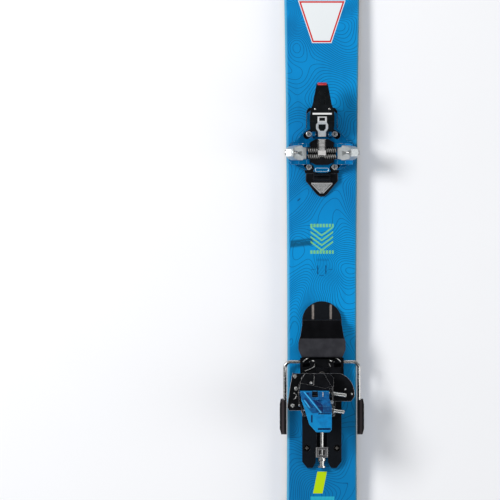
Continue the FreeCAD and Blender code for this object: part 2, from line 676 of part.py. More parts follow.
def adjuster_bracket():
    """Bracket in the track that holds the adjuster against sliding."""
    body = box(-CHANNEL_LIP, CHANNEL_LIP, -354.8, -340.5, CHANNEL_FLOOR, 13.2)
    wings = box(-8.6, 8.6, -354.8, -340.5, TRACK_HEIGHT, 11.6)
    bracket = body.fuse(wings)
    bracket = bracket.cut(box(-4.6, 4.6, -351.5, -343.5, 4.4, 14))
    return bracket.cut(cylinder_y(ADJUSTER_R + RUNNING_GAP, -360, -330, 0, ADJUSTER_H)).removeSplitter()


def brake_wire():
    """One bent wire: the axle through the carriage and both brake arms."""
    reach = BRAKE_WIRE_X - BRAKE_BEND_R
    height = TOP + BRAKE_AXIS_H
    turn = BRAKE_BEND_R * (1 - math.sqrt(0.5))
    edges = []
    for side in (1, -1):
        bend_start = Vector(side * reach, BRAKE_AXIS_Y, height)
        bend_middle = Vector(side * (BRAKE_WIRE_X - turn), BRAKE_AXIS_Y - turn, height)
        bend_end = Vector(side * BRAKE_WIRE_X, BRAKE_AXIS_Y - BRAKE_BEND_R, height)
        edges.append(Part.Arc(bend_start, bend_middle, bend_end).toShape())
        edges.append(Part.makeLine(bend_end, Vector(side * BRAKE_WIRE_X, BRAKE_WIRE_END_Y, height)))
    edges.append(Part.makeLine(Vector(-reach, BRAKE_AXIS_Y, height), Vector(reach, BRAKE_AXIS_Y, height)))
    path = Part.Wire(Part.__sortEdges__(edges))
    ring = Part.Wire(Part.makeCircle(BRAKE_WIRE_R, path.OrderedVertexes[0].Point, Vector(0, 1, 0)))
    return path.makePipeShell([ring], True, True)


def brake_paddle():
    """Right-hand brake tip that digs into the snow."""
    body = side_prism([(-271, 11), (-273, 17.6), (-276, 18.2), (-312, 18.2), (-320, 16.6), (-322, 13.5),
                       (-319, 9.2), (-276, 9.2), (-272, 9.8)], 50.2, 60.0)
    body = body.common(plan_prism([(50.2, -268), (58.0, -268), (60, -279), (60, -314), (57.5, -323),
                                   (50.2, -323)], 0, 30))
    body = rounded(body, 1.0, lambda edge: edge.BoundBox.XMin > 59.9 and edge.BoundBox.YLength > 30)
    body = body.cut(box(57.6, 61, -330, -260, 16.6, 20))
    return body.cut(cylinder_y(BRAKE_WIRE_R, BRAKE_WIRE_END_Y, -260, BRAKE_WIRE_X, BRAKE_AXIS_H))


def brake_pedal():
    """Frame of the brake pedal: a sloping plate with two arms to the brake's axle."""
    plan = plan_prism(both_sides([(27, -158), (30.5, -180), (33.0, -190), (33.0, -200), (28.0, -211)]), 0, 60)
    side = side_prism([(-159, 10.9), (-159, 19.5), (-185, 25.0), (-208.6, 26.5), (-211, 23.0),
                       (-209.8, 11.4)], -40, 40)
    pedal = plan.common(side)
    pedal = pedal.cut(side_prism([(-163, 9), (-163, 16.5), (-185, 21.0), (-206, 22.0), (-206, 9)], -24, 24))
    for x0, x1 in ((18.0, 27.0), (-27.0, -18.0)):
        arm = side_prism([(-208, 11.4), (-208, 22), (BRAKE_AXIS_Y - 2, 19.0), (BRAKE_AXIS_Y, 9.8)], x0, x1)
        arm = arm.fuse(cylinder_x(4.5, x0, x1, BRAKE_AXIS_Y, BRAKE_AXIS_H))
        pedal = pedal.fuse(arm)
    return pedal.cut(cylinder_x(BRAKE_WIRE_R, -40, 40, BRAKE_AXIS_Y, BRAKE_AXIS_H)).removeSplitter()


def pedal_pad_front():
    """Smooth low-friction pad on the front half of the pedal."""
    plan = plan_prism(both_sides([(27, -158.5), (31.5, -185)]), 0, 60)
    side = side_prism([(-158.5, 19.4), (-158.5, 21.2), (-160, 22.6), (-185, 27.9), (-185, 25.0),
                       (-159, 19.5)], -40, 40)
    return plan.common(side)


def pedal_pad_rear():
    """Matt pad on the rear half of the pedal, where the boot heel presses."""
    plan = plan_prism(both_sides([(32.2, -185.3), (33.5, -190), (33.5, -201), (29.0, -212.2)]), 0, 60)
    side = side_prism([(-185.3, 25.02), (-185.3, 28.4), (-187, 29.0), (-207, 30.4), (-211, 29.6),
                       (-212.2, 26.7)], -40, 40)
    return plan.common(side).cut(side_prism([(-185, 20), (-185, 25.0), (-208.6, 26.5), (-211, 23)], -40, 40))


def turret_foot():
    """Round foot of the tower, turning on the fixed post."""
    foot = cylinder_z(22.5, FOOT_BOTTOM, FLANGE_BOTTOM, 0, TURRET_Y)
    foot = foot.fuse(box(-19, 19, -294, TURRET_Y, FOOT_BOTTOM, FLANGE_BOTTOM))
    return foot.cut(cylinder_z(SPINDLE_R + RUNNING_GAP, 30, 60, 0, TURRET_Y)).removeSplitter()


def crescent(points_outer, points_inner):
    """Wing with a curved outer edge; both lists are a start, a middle and an end."""
    outer = Part.Arc(*[Vector(x, y, TOP + FLANGE_BOTTOM) for x, y in points_outer]).toShape()
    corners = [points_outer[2]] + points_inner + [points_outer[0]]
    inner = Part.makePolygon([Vector(x, y, TOP + FLANGE_BOTTOM) for x, y in corners])
    face = Part.Face(Part.Wire([outer] + inner.Edges))
    return face.extrude(Vector(0, 0, HOUSING_BOTTOM - FLANGE_BOTTOM))


def turret_flange():
    """Plate of the tower with a crescent wing on each side."""
    left = crescent([(-42, -234), (-46.5, -259), (-49.5, -282)], [(-47, -287), (-28, -287), (-20, -260),
                                                                 (-20, -234)])
    right = crescent([(25, -234), (43, -250), (45.5, -268)], [(41, -274), (12, -274), (12, -234)])
    middle = box(-28, 17, -295, -234, FLANGE_BOTTOM, HOUSING_BOTTOM)
    flange = middle.fuse(left).fuse(right)
    chamfer = side_prism([(-230, 43), (-230, 52.5), (-234.05, 52.05), (-239.8, 43.8)], -60, 60)
    flange = flange.cut(chamfer)
    return flange.cut(cylinder_z(SPINDLE_R + RUNNING_GAP, 30, 60, 0, TURRET_Y)).removeSplitter()


def flange_screws():
    """Small screws on the left wing."""
    screws = []
    for x, y in ((-38.5, -238.5), (-37.0, -256.0), (-42.0, -280.0)):
        head = cylinder_z(2.7, HOUSING_BOTTOM, HOUSING_BOTTOM + 1.6, x, y)
        head = rounded(head, 0.6, at_height(HOUSING_BOTTOM + 1.6))
        screws.append(head.cut(box(x - 2, x + 2, y - 0.4, y + 0.4, HOUSING_BOTTOM + 0.8, HOUSING_BOTTOM + 3)))
    return Part.makeCompound(screws)


def turret_housing():
    """Main block of the tower, with bores for the heel pins, the spindle and the value screw."""
    block = plan_prism([(-30, -240), (-24, -234), (10, -234), (16, -240), (16, -291), (12, -295), (-24, -295),
                        (-30, -289)], HOUSING_BOTTOM, PLATE_LOW)
    block = block.cut(cylinder_z(SPINDLE_R + RUNNING_GAP, 30, PLATE_LOW - 1.9, 0, TURRET_Y))
    for y, _ in HEEL_PIN_ENDS:
        block = block.cut(turned_pin(HEEL_COLLAR_R, HEEL_PIN_ROOT_X, HEEL_COLLAR_END_X + 3, y))
    return block.cut(cylinder_x(4.0 + RUNNING_GAP, -31, -24, -276, 58.0))


def turned_pin(radius, x0, x1, y):
    """Cylinder along X at the heel pins' height, turned a little about the upright."""
    pin = Part.makeCylinder(radius, x1 - x0, Vector(x0, y, TOP + HEEL_PIN_H), Vector(1, 0, 0))
    pin.rotate(Vector(TOWER_FACE_X, y, TOP + HEEL_PIN_H), Vector(0, 0, 1), HEEL_PIN_TURN)
    return pin


def heel_pins():
    """Two parallel pins that hold the boot's heel, each with a collar in the tower's face."""
    pins = []
    for y, end_x in HEEL_PIN_ENDS:
        free = turned_pin(HEEL_PIN_R, HEEL_COLLAR_END_X, end_x, y)
        end = max(free.Edges, key=lambda edge: edge.CenterOfMass.x)
        collar = turned_pin(HEEL_COLLAR_R, HEEL_PIN_ROOT_X, HEEL_COLLAR_END_X, y)
        pins.append(free.makeFillet(1.6, [end]).fuse(collar).removeSplitter())
    return Part.makeCompound(pins)


def pin_plate():
    """Steel plate over the heel pins."""
    return plan_prism([(-29.7, -240), (-24, -234.4), (10, -234.4), (15.7, -240), (15.7, -290.8),
                       (11.8, -294.7), (-24, -294.7), (-29.7, -289)], PLATE_LOW, PLATE_LOW + PLATE_THICK)


def turret_spacer():
    return plan_prism([(-29, -239), (-24, -235), (10, -235), (15, -239), (15, -290), (11, -294), (-24, -294),
                       (-29, -289)], PLATE_LOW + PLATE_THICK, PLATE_HIGH)


def cover_plate():
    """Steel plate under the tower's top cover."""
    return plan_prism([(-33.6, -250.1), (-23.8, -234.3), (9.9, -234.3), (15.7, -240.1), (15.7, -287.9),
                       (10.9, -294.7), (-24.8, -294.7), (-33.6, -276.1)],
                      PLATE_HIGH, PLATE_HIGH + PLATE_THICK)


def turret_cover():
    """Top cover with a lower ridged front and two ears for the climbing aid's pivot."""
    cover = plan_prism([(-33.9, -250), (-24, -234), (10, -234), (16, -240), (16, -288), (11, -295),
                        (-25, -295), (-33.9, -276)], COVER_BOTTOM, COVER_TOP)
    cover = cover.makeChamfer(1.4, [edge for edge in cover.Edges if at_height(COVER_TOP)(edge)])
    front = plan_prism([(-40, -225), (-40, -246), (-22.2, -249.4), (4.2, -255.0), (20, -250.4), (20, -225)],
                       COVER_TOP - 1.8, COVER_TOP + 1)
    cover = cover.cut(front)
    for x0, x1 in ((-11.8, -13.0), (2.2, 11.0)):
        ridge = plan_prism([(x0, -234.6), (x0 + 0.9, -234.6), (x1 + 0.9, -250.2), (x1, -250.2)],
                           COVER_TOP - 2.0, COVER_TOP - 0.8)
        cover = cover.fuse(ridge)
    for x0, x1 in ((-33.9, -32.3), (10.4, 13.2)):
        ear = side_prism([(-268.2, COVER_TOP - 2), (-254.5, COVER_TOP - 2), (-257.5, 82.0), (-260, 83.4),
                          (-264, 83.4), (-266.5, 82.0)], x0, x1)
        ear = ear.cut(cylinder_x(PIVOT_R, x0 - 1, x1 + 1, AID_Y, AID_H))
        cover = cover.fuse(ear)
    bore = cylinder_z(2.0 + RUNNING_GAP, COVER_BOTTOM - 1, COVER_TOP + 1, VALUE_SCREW_X, VALUE_SCREW_Y)
    return cover.cut(bore).removeSplitter()


def side_value_screw():
    """Screw that sets the sideways release value, on top of the tower."""
    x = VALUE_SCREW_X
    y = VALUE_SCREW_Y
    shank = cylinder_z(2.0, COVER_BOTTOM + 0.1, COVER_TOP + 0.2, x, y)
    head = cylinder_z(2.7, COVER_TOP + 0.1, COVER_TOP + 2.0, x, y)
    slot = box(x - 2.2, x + 2.2, y - 0.5, y + 0.5, COVER_TOP + 1.0, COVER_TOP + 4)
    return shank.fuse(head).cut(slot).removeSplitter()


def forward_value_screw():
    """Screw that sets the forward release value, on the tower's blind side."""
    shank = cylinder_x(4.0, -30.2, -24.2, -276, 58.0)
    head = cylinder_x(5.4, -33.4, -30.1, -276, 58.0)
    slot = box(-34, -32.2, -281, -271, 57.4, 58.6)
    return shank.fuse(head).cut(slot).removeSplitter()


def spring_cap():
    """Round cap over the release spring, on the face with the pins."""
    cap = cylinder_x(5.7, 16.0, 18.0, -274.8, 58.0)
    return cap.cut(cylinder_x(4.2, 17.2, 19.0, -274.8, 58.0))


def climbing_aid():
    """Heel riser that folds over the tower: a ribbed slope, a crest and a flat rear pad."""
    crest = (-279.5, 105.3)
    step = (-289.0, 99.8)
    side = side_prism([(-258.4, 80.5), (-259.6, 92.6), crest, step, (-315.6, 87.4), (-317.0, 84.4),
                       (-302, 76.2), (-262, 75.3)], -32, 13)
    plan = plan_prism([(-32, -254), (9.2, -254), (9.2, -267.5), (12.2, -277), (13, -282), (13, -313),
                       (9.5, -317.6), (-8, -317.6), (-18.8, -305.4), (-25.6, -283.2), (-29.6, -272)],
                      60, 120)
    body = side.common(plan).fuse(cylinder_x(3.6, -32, 9.2, AID_Y, AID_H))
    window = side_prism([(-284.0, 92.4), (-277.5, 88.0), (-277.5, 81.6), (-298.5, 79.8), (-299.5, 85.4)],
                        -40, 20)
    body = body.cut(window)
    body = body.cut(box(-15.0, -6.2, -267.4, -256.0, 83.4, 110))
    body = body.cut(box(-6, 11.6, -291.0, -289.8, 98.0, 110))
    body = body.cut(box(-6.6, 11.0, -313.4, -311.0, 87.6, 110))
    dip = plan_prism([(-10, -271), (0.5, -271), (0.5, -277)], 60, 120)
    body = body.cut(dip.common(side_prism([(-259.6, 91.1), (-279.5, 103.8), (-279.5, 110), (-259.6, 110)],
                                          -40, 20)))
    rib_skin = side_prism([(-259.6, 93.9), (-279.5, 106.6), (-289.0, 101.1), (-289.0, 97.0), (-279.5, 102.0),
                           (-259.6, 90.0)], -40, 20)
    for x0, y0, x1, y1 in ((-27.0, -271.0, -19.0, -282.0), (-20.6, -267.5, -5.5, -286.0)):
        strip = plan_prism([(x0, y0), (x0 + 2.0, y0), (x1 + 2.0, y1), (x1, y1)], 60, 120)
        body = body.fuse(strip.common(rib_skin))
    relief = side_prism([(-267.0, 75.0), (-268.0, 78.8), (-312.0, 78.8), (-330.0, 75.0)], 3.5, 20)
    body = body.cut(relief)
    body = body.cut(cylinder_x(PIVOT_R + RUNNING_GAP, -40, 20, AID_Y, AID_H))
    return body.removeSplitter()


def aid_pivot():
    return cylinder_x(PIVOT_R, -34.3, 13.6, AID_Y, AID_H)


# --- Build -----------------------------------------------------------------------------------
def toe_parts():
    toe, _ = screw_places()
    jaw = opened(jaw_closed())
    pin = opened(toe_pin_closed())
    save("toe_base", toe_base())
    save("toe_screws", mounting_screws(toe, TOE_BASE_HEIGHT))
    save("toe_plate", toe_plate())
    save("jaw_right", jaw)
    save("jaw_left", mirror_x(jaw))
    save("toe_pin_right", pin)
    save("toe_pin_left", mirror_x(pin))
    save("jaw_pivots", jaw_pivots())
    save("spring_block", spring_block())
    save("toe_springs", toe_springs())
    save("toe_spring_rods", toe_spring_rods())
    save("toothed_strip", toothed_strip())
    save("toe_lever", lever_arm())
    save("lever_tip", lever_tip())
    save("lever_link", lever_link())
    save("lever_inlay", lever_inlay())
    save("lever_pivot", lever_pivot())
    save("toe_pad", toe_pad())
    save("toe_pad_insert", toe_pad_insert())
    save("crampon_clip", crampon_clip())


def heel_parts():
    _, heel = screw_places()
    paddle = brake_paddle()
    save("heel_track", heel_track())
    save("track_strips", track_strips())
    save("heel_screws", mounting_screws(heel, 5.4))
    save("carriage", carriage())
    save("turret_post", turret_post())
    save("lock_spring", lock_spring())
    save("lock_plunger", lock_plunger())
    save("adjuster_screw", adjuster_screw())
    save("adjuster_bracket", adjuster_bracket())
    save("brake_wire", brake_wire())
    save("brake_paddle_right", paddle)
    save("brake_paddle_left", mirror_x(paddle))
    save("brake_pedal", brake_pedal())
    save("pedal_pad_front", pedal_pad_front())
    save("pedal_pad_rear", pedal_pad_rear())
    save("turret_foot", turret_foot())
    save("turret_flange", turret_flange())
    save("flange_screws", flange_screws())
    save("turret_housing", turret_housing())
    save("heel_pins", heel_pins())
    save("pin_plate", pin_plate())
    save("turret_spacer", turret_spacer())
    save("cover_plate", cover_plate())
    save("turret_cover", turret_cover())
    save("side_value_screw", side_value_screw())
    save("forward_value_screw", forward_value_screw())
    save("spring_cap", spring_cap())
    save("climbing_aid", climbing_aid())
    save("aid_pivot", aid_pivot())


def main():
    os.makedirs(OUT, exist_ok=True)
    ski_parts()
    toe_parts()
    heel_parts()


main()
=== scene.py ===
import json
import math
from functools import reduce

import bmesh
import bpy
from mathutils import Matrix, Vector

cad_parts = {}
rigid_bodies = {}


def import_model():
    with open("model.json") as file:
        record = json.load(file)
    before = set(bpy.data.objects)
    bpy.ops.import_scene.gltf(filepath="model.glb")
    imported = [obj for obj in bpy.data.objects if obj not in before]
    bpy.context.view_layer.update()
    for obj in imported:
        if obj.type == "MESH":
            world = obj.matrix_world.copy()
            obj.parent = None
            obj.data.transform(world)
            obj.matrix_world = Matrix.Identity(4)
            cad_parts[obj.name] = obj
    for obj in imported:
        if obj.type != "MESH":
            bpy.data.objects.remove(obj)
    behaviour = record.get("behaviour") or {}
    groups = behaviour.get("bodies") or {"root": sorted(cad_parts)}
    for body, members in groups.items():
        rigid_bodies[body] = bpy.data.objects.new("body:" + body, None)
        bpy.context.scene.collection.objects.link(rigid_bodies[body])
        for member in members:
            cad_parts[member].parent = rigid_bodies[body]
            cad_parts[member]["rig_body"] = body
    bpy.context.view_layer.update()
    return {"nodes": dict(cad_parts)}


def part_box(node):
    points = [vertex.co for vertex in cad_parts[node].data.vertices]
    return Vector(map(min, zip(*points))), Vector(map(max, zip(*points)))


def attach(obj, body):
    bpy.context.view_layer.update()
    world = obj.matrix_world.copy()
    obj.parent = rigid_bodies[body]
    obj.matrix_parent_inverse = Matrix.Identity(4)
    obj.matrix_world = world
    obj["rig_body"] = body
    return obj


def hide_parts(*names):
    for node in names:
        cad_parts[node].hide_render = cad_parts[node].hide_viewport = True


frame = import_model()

SLOT = {name: node.data.materials[0].name for name, node in frame["nodes"].items()}
MM = 0.001

# Sizes in mm, as in the CAD. Heights, called h or ending in _H, are above TOP.
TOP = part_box("toe_base")[0].z / MM      # the ski's top surface under the binding
WAIST_HALF = 49.0
WAIST_Y = -200.0
SIDECUT = 1.78e-5                       # half width gained per square millimetre from the waist
PLATE_H = 13.1                          # top of the toe plate
FLANGE_H = 52.0                         # top of the heel tower's wings
COVER_H = 75.0                          # top of the heel tower's cover
AID_FOOT = (-259.6, 93.9)               # Y and height where the climbing aid's front slope starts
AID_CREST = (-279.5, 106.6)             # Y and height of its highest line
AID_FRONT_SLOPE = 0.638
AID_REAR_SLOPE = 0.579

CORNER_ANGLE = math.radians(32)         # sharper edges than this are rounded
CORNER_SEGMENTS = 2
LATHE_STEPS = 40
HEAD_SINK = 0.05                        # how far small heads reach into the surface under them


def srgb(red, green, blue):
    """Linear colour from 0-255 display values."""
    channels = []
    for value in (red, green, blue):
        value = value / 255
        channels.append(value / 12.92 if value < 0.04045 else ((value + 0.055) / 1.055) ** 2.4)
    return tuple(channels) + (1.0,)


# --- Materials -------------------------------------------------------------------------------
class Graph:
    """A material's node tree, with short calls for the nodes that it needs. Lengths are in mm."""

    def __init__(self, name, **shader):
        self.material = bpy.data.materials.new(name)
        self.material.use_nodes = True
        self.tree = self.material.node_tree
        self.tree.nodes.clear()
        out = self.tree.nodes.new("ShaderNodeOutputMaterial")
        self.shader = self.tree.nodes.new("ShaderNodeBsdfPrincipled")
        self.tree.links.new(self.shader.outputs[0], out.inputs[0])
        for key, value in shader.items():
            self.shader.inputs[key.replace("_", " ")].default_value = value
        self.coord = self.tree.nodes.new("ShaderNodeTexCoord").outputs["Object"]

    def put(self, socket, value):
        """Links another node's output to a socket, or sets a plain value."""
        if isinstance(value, bpy.types.NodeSocket):
            self.tree.links.new(value, socket)
        else:
            socket.default_value = value

    def math(self, operation, *values):
        node = self.tree.nodes.new("ShaderNodeMath")
        node.operation = operation
        for socket, value in zip(node.inputs, values):
            self.put(socket, value)
        return node.outputs[0]

    def add(self, first, second):
        return self.math("ADD", first, second)

    def subtract(self, first, second):
        return self.math("SUBTRACT", first, second)

    def times(self, first, second):
        return self.math("MULTIPLY", first, second)

    def lower(self, first, second):
        return self.math("MINIMUM", first, second)

    def higher(self, first, second):
        return self.math("MAXIMUM", first, second)

    def absolute(self, value):
        return self.math("ABSOLUTE", value)

    def repeat(self, value, pitch):
        """Rises from 0 to 1 over each pitch of the value."""
        return self.math("FRACT", self.math("DIVIDE", value, pitch))

    def axes(self):
        """The point's X, Y and Z."""
        node = self.tree.nodes.new("ShaderNodeSeparateXYZ")
        self.put(node.inputs[0], self.coord)
        return [self.times(node.outputs[i], 1 / MM) for i in range(3)]

    def facing_up(self):
        """1 where the surface faces up, 0 on the sides."""
        node = self.tree.nodes.new("ShaderNodeSeparateXYZ")
        self.put(node.inputs[0], self.tree.nodes.new("ShaderNodeTexCoord").outputs["Normal"])
        return self.span(node.outputs[2], 0.3, 0.6)

    def noise(self, size, detail=2.0, stretch=(1, 1, 1), offset=(0, 0, 0), rough=0.5, warp=0.0):
        """Noise whose features are about size mm, drawn out along an axis by stretch."""
        mapping = self.tree.nodes.new("ShaderNodeMapping")
        mapping.vector_type = "TEXTURE"
        self.put(mapping.inputs["Vector"], self.coord)
        mapping.inputs["Location"].default_value = [o * MM for o in offset]
        mapping.inputs["Scale"].default_value = [size * MM * s for s in stretch]
        node = self.tree.nodes.new("ShaderNodeTexNoise")
        self.put(node.inputs["Vector"], mapping.outputs[0])
        node.inputs["Scale"].default_value = 1.0
        node.inputs["Detail"].default_value = detail
        node.inputs["Roughness"].default_value = rough
        node.inputs["Distortion"].default_value = warp
        return node.outputs[0]

    def span(self, value, low, high, to_low=0.0, to_high=1.0):
        """Smooth step: to_low where the value is at low, to_high where it is at high."""
        node = self.tree.nodes.new("ShaderNodeMapRange")
        node.interpolation_type = "SMOOTHSTEP"
        for socket, item in zip(node.inputs, (value, low, high, to_low, to_high)):
            self.put(socket, item)
        return node.outputs[0]

    def under(self, value, low, high):
        """1 where the value is under low, 0 where it is over high."""
        return self.span(value, low, high, 1.0, 0.0)

    def band(self, value, centre, half, soft=0.15):
        """1 where the value is within half of the centre."""
        return self.under(self.absolute(self.subtract(value, centre)), half - soft, half + soft)

    def both(self, *masks):
        return reduce(self.times, masks)

    def either(self, *masks):
        return reduce(self.higher, masks)

    def mix(self, factor, first, second):
        node = self.tree.nodes.new("ShaderNodeMix")
        node.data_type = "RGBA"
        color_inputs = [socket for socket in node.inputs if socket.type == "RGBA"]
        self.put(node.inputs[0], factor)
        self.put(color_inputs[0], first)
        self.put(color_inputs[1], second)
        return next(socket for socket in node.outputs if socket.type == "RGBA")

    def two_tone(self, pattern, low, high, dark, light):
        """Colour that goes from dark, where the pattern is at low, to light, where it is at high."""
        return self.mix(self.span(pattern, low, high), dark, light)

    def paint(self, color, *layers):
        """Lays (mask, strength, ink) layers over a colour, the last one on top."""
        for mask, strength, ink in layers:
            color = self.mix(self.times(mask, strength), color, ink)
        return color

    def bump(self, height, depth):
        """Surface relief, depth mm deep."""
        node = self.tree.nodes.new("ShaderNodeBump")
        node.inputs["Strength"].default_value = 1.0
        node.inputs["Distance"].default_value = depth * MM
        self.put(node.inputs["Height"], height)
        return node.outputs[0]

    def done(self, color, roughness, normal=None):
        self.put(self.shader.inputs["Base Color"], color)
        self.put(self.shader.inputs["Roughness"], roughness)
        if normal is not None:
            self.put(self.shader.inputs["Normal"], normal)
        return self.material


def plastic(name, dark, light, rough, grain=0.35, depth=0.02, specular=0.14):
    """Moulded plastic: fine grain, slow mottling and scuffs."""
    g = Graph(name, Specular_IOR_Level=specular)
    scuff = g.span(g.noise(2.2, 5.0, (1, 6, 1), rough=0.7), 0.62, 0.74)
    color = g.two_tone(g.noise(14.0, 4.0), 0.35, 0.7, dark, light)
    color = g.paint(color, (scuff, 0.35, light))
    wear = g.add(g.noise(5.0, 4.0), g.times(scuff, 0.3))
    roughness = g.span(wear, 0.3, 0.9, rough - 0.07, rough + 0.12)
    return g.done(color, roughness, g.bump(g.noise(grain, 3.0, rough=0.65), depth))


def metal(name, dark, light, rough, stretch=(1, 14, 1), size=0.5, depth=0.004, tarnish=None,
          metallic=1.0, specular=0.5):
    """Machined or brushed metal: drawn-out marks, uneven polish and a little dirt."""
    g = Graph(name, Metallic=metallic, Specular_IOR_Level=specular)
    marks = g.noise(size, 4.0, stretch, rough=0.6)
    color = g.two_tone(marks, 0.3, 0.7, dark, light)
    if tarnish is not None:
        color = g.two_tone(g.noise(6.0, 5.0), 0.5, 0.72, color, tarnish)
    roughness = g.add(g.span(marks, 0.25, 0.75, rough - 0.05, rough + 0.08),
                      g.span(g.noise(4.0, 3.0), 0.4, 0.75, 0.0, 0.08))
    return g.done(color, roughness, g.bump(marks, depth))


def anodised(name, dark, light, rough):
    """Dyed aluminium: machining marks and a faint cloudiness."""
    g = Graph(name, Metallic=0.9, Specular_IOR_Level=0.3)
    marks = g.noise(0.4, 4.0, (1, 18, 1), rough=0.6)
    color = g.two_tone(g.noise(12.0, 4.0), 0.35, 0.65, dark, light)
    color = g.paint(color, (g.span(marks, 0.55, 0.8), 0.25, light))
    return g.done(color, g.span(marks, 0.2, 0.8, rough - 0.05, rough + 0.12), g.bump(marks, 0.006))


def ptex():
    """Sintered running base, stone-ground along its length."""
    g = Graph("ptex_base", Specular_IOR_Level=0.4)
    grind = g.noise(0.45, 3.0, (1, 60, 1), rough=0.6)
    color = g.two_tone(g.noise(1.1, 2.0), 0.55, 0.75, srgb(22, 22, 24), srgb(44, 44, 47))
    return g.done(color, g.span(grind, 0.3, 0.7, 0.34, 0.5), g.bump(grind, 0.015))


def laminate():
    """Pale glass-fibre layer: long fibres and a little resin haze."""
    g = Graph("laminate_glass", Specular_IOR_Level=0.45, Coat_Weight=0.25)
    fibre = g.noise(0.35, 4.0, (1, 90, 1), rough=0.65)
    haze = g.span(g.noise(18.0, 3.0, (1, 3, 1)), 0.3, 0.7)
    color = g.two_tone(fibre, 0.3, 0.7, srgb(196, 190, 172), srgb(232, 229, 216))
    color = g.paint(color, (haze, 0.4, srgb(214, 205, 180)))
    return g.done(color, g.span(fibre, 0.2, 0.8, 0.3, 0.45), g.bump(fibre, 0.01))


def wood():
    """Laminated strips of the core, along the ski, each with its own tone."""
    g = Graph("core_strips")
    strip_width = 9.0
    x, _, _ = g.axes()
    strip = g.math("FLOOR", g.math("DIVIDE", x, strip_width))
    tone = g.math("FRACT", g.times(g.math("SINE", g.times(strip, 12.9)), 43.7))
    grain = g.noise(1.2, 5.0, (1, 40, 1), rough=0.6)
    color = g.two_tone(grain, 0.3, 0.7, srgb(160, 120, 76), srgb(204, 170, 120))
    color = g.paint(color, (tone, 0.4, srgb(142, 98, 58)))
    return g.done(color, g.span(grain, 0.2, 0.8, 0.5, 0.7), g.bump(grain, 0.04))


def sidewall():
    """Blue sidewall, planed along its length, with slow changes of tone."""
    g = Graph("sidewall_plastic", Specular_IOR_Level=0.4)
    plane = g.noise(0.5, 3.0, (1, 70, 1), rough=0.6)
    color = g.two_tone(g.noise(60.0, 2.0, (1, 2, 1)), 0.35, 0.65, srgb(8, 104, 168), srgb(14, 122, 190))
    color = g.paint(color, (g.span(plane, 0.35, 0.75), 0.3, srgb(60, 150, 205)))
    return g.done(color, g.span(plane, 0.2, 0.8, 0.34, 0.5), g.bump(plane, 0.012))


# The topsheet's print, and the painted highlight and shade on its rims. Each function works in the ski's own
# X and Y and gives masks to paint with; away is the distance from the ski's middle line.
def contour_lines(g):
    """Map-like lines of even width from a smooth height field."""
    hill_size = 120.0
    levels = 92.0
    step = 0.6
    flattest = 0.04

    def height(dx, dy):
        return g.times(g.noise(hill_size, 1.0, offset=(dx, dy, 0), warp=0.25), levels)

    here = height(0, 0)
    rise_x = g.subtract(height(step, 0), here)
    rise_y = g.subtract(height(0, step), here)
    rise = g.math("SQRT", g.add(g.times(rise_x, rise_x), g.times(rise_y, rise_y)))
    slope = g.higher(g.math("DIVIDE", rise, step), flattest)
    from_line = g.absolute(g.subtract(g.math("FRACT", here), 0.5))
    return g.under(g.math("DIVIDE", from_line, slope), 0.2, 0.42)


def sheet_blue(g, y):
    """Blue ground: slow clouds and fine streaks, paler round the waist and deeper to the rear."""
    streaks = g.span(g.noise(9.0, 4.0, (1, 5, 1)), 0.5, 0.8)
    clouds = g.two_tone(g.noise(220.0, 2.0), 0.35, 0.65, srgb(0, 130, 196), srgb(0, 144, 212))
    return g.paint(clouds, (streaks, 0.22, srgb(0, 108, 172)),
                   (g.band(y, WAIST_Y, 60.0, 60.0), 0.6, srgb(0, 160, 234)),
                   (g.span(y, -270.0, -400.0), 0.5, srgb(0, 92, 146)))


def brushed_wedge(g, x, y):
    """Brushed wedge beside the middle mark."""
    streaks = g.span(g.noise(1.6, 3.0, (14, 1, 1), rough=0.7), 0.3, 0.46)
    slant = g.subtract(y, g.times(x, 0.12))
    return g.both(g.band(x, -29.0, 16.0, 1.5), g.band(slant, -45.5, 5.0, 2.0), streaks)


def middle_mark(g, x, y, away):
    """Abstract mark: two hatched bars with four chevrons between them."""
    half_width = 17.0
    front_bar_y, rear_bar_y, bar_half = -24.4, -62.2, 2.4
    hatch_pitch, chevron_pitch = 4.4, 7.0
    chevron_slope = 0.75
    hatch = g.span(g.repeat(x, hatch_pitch), 0.2, 0.34)
    bar = g.either(g.band(y, front_bar_y, bar_half), g.band(y, rear_bar_y, bar_half))
    bars = g.both(g.band(x, 0.0, half_width), bar, hatch)
    fold = g.subtract(y, g.times(away, chevron_slope))
    stripes = g.band(g.repeat(fold, chevron_pitch), 0.5, 0.2, 0.03)
    chevrons = g.both(g.band(x, 0.0, half_width - 1.0), g.band(fold, -49.0, 12.4), stripes)
    return g.either(bars, chevrons)


def boot_mark(g, x, y, away):
    """Centre mark for mounting: two ticks with short feet, a dash, and a faint bar in front."""
    ticks = g.both(g.band(away, 5.8, 0.75), g.band(y, -87.5, 6.2))
    feet = g.both(g.band(away, 12.5, 2.6), g.band(y, -87.0, 0.6))
    dash = g.both(g.band(x, 0.0, 3.0), g.band(y, -95.6, 0.8))
    faint = g.both(g.band(x, 1.0, 8.8), g.band(y, -73.4, 1.7, 0.6))
    return g.either(ticks, g.times(g.either(feet, dash), 0.6), g.times(faint, 0.3))


def slanted_patch(g, x, y):
    """Plain patch behind the heel piece."""
    middle_y = -391.0
    lean = g.subtract(x, g.times(g.subtract(y, middle_y), 0.2))
    return g.both(g.band(lean, -2.6, 6.8), g.band(y, middle_y, 15.6))


def rear_bar(g, x, y):
    """Bar behind the patch."""
    return g.both(g.band(x, 1.0, 17.0), g.band(y, -413.6, 2.6))


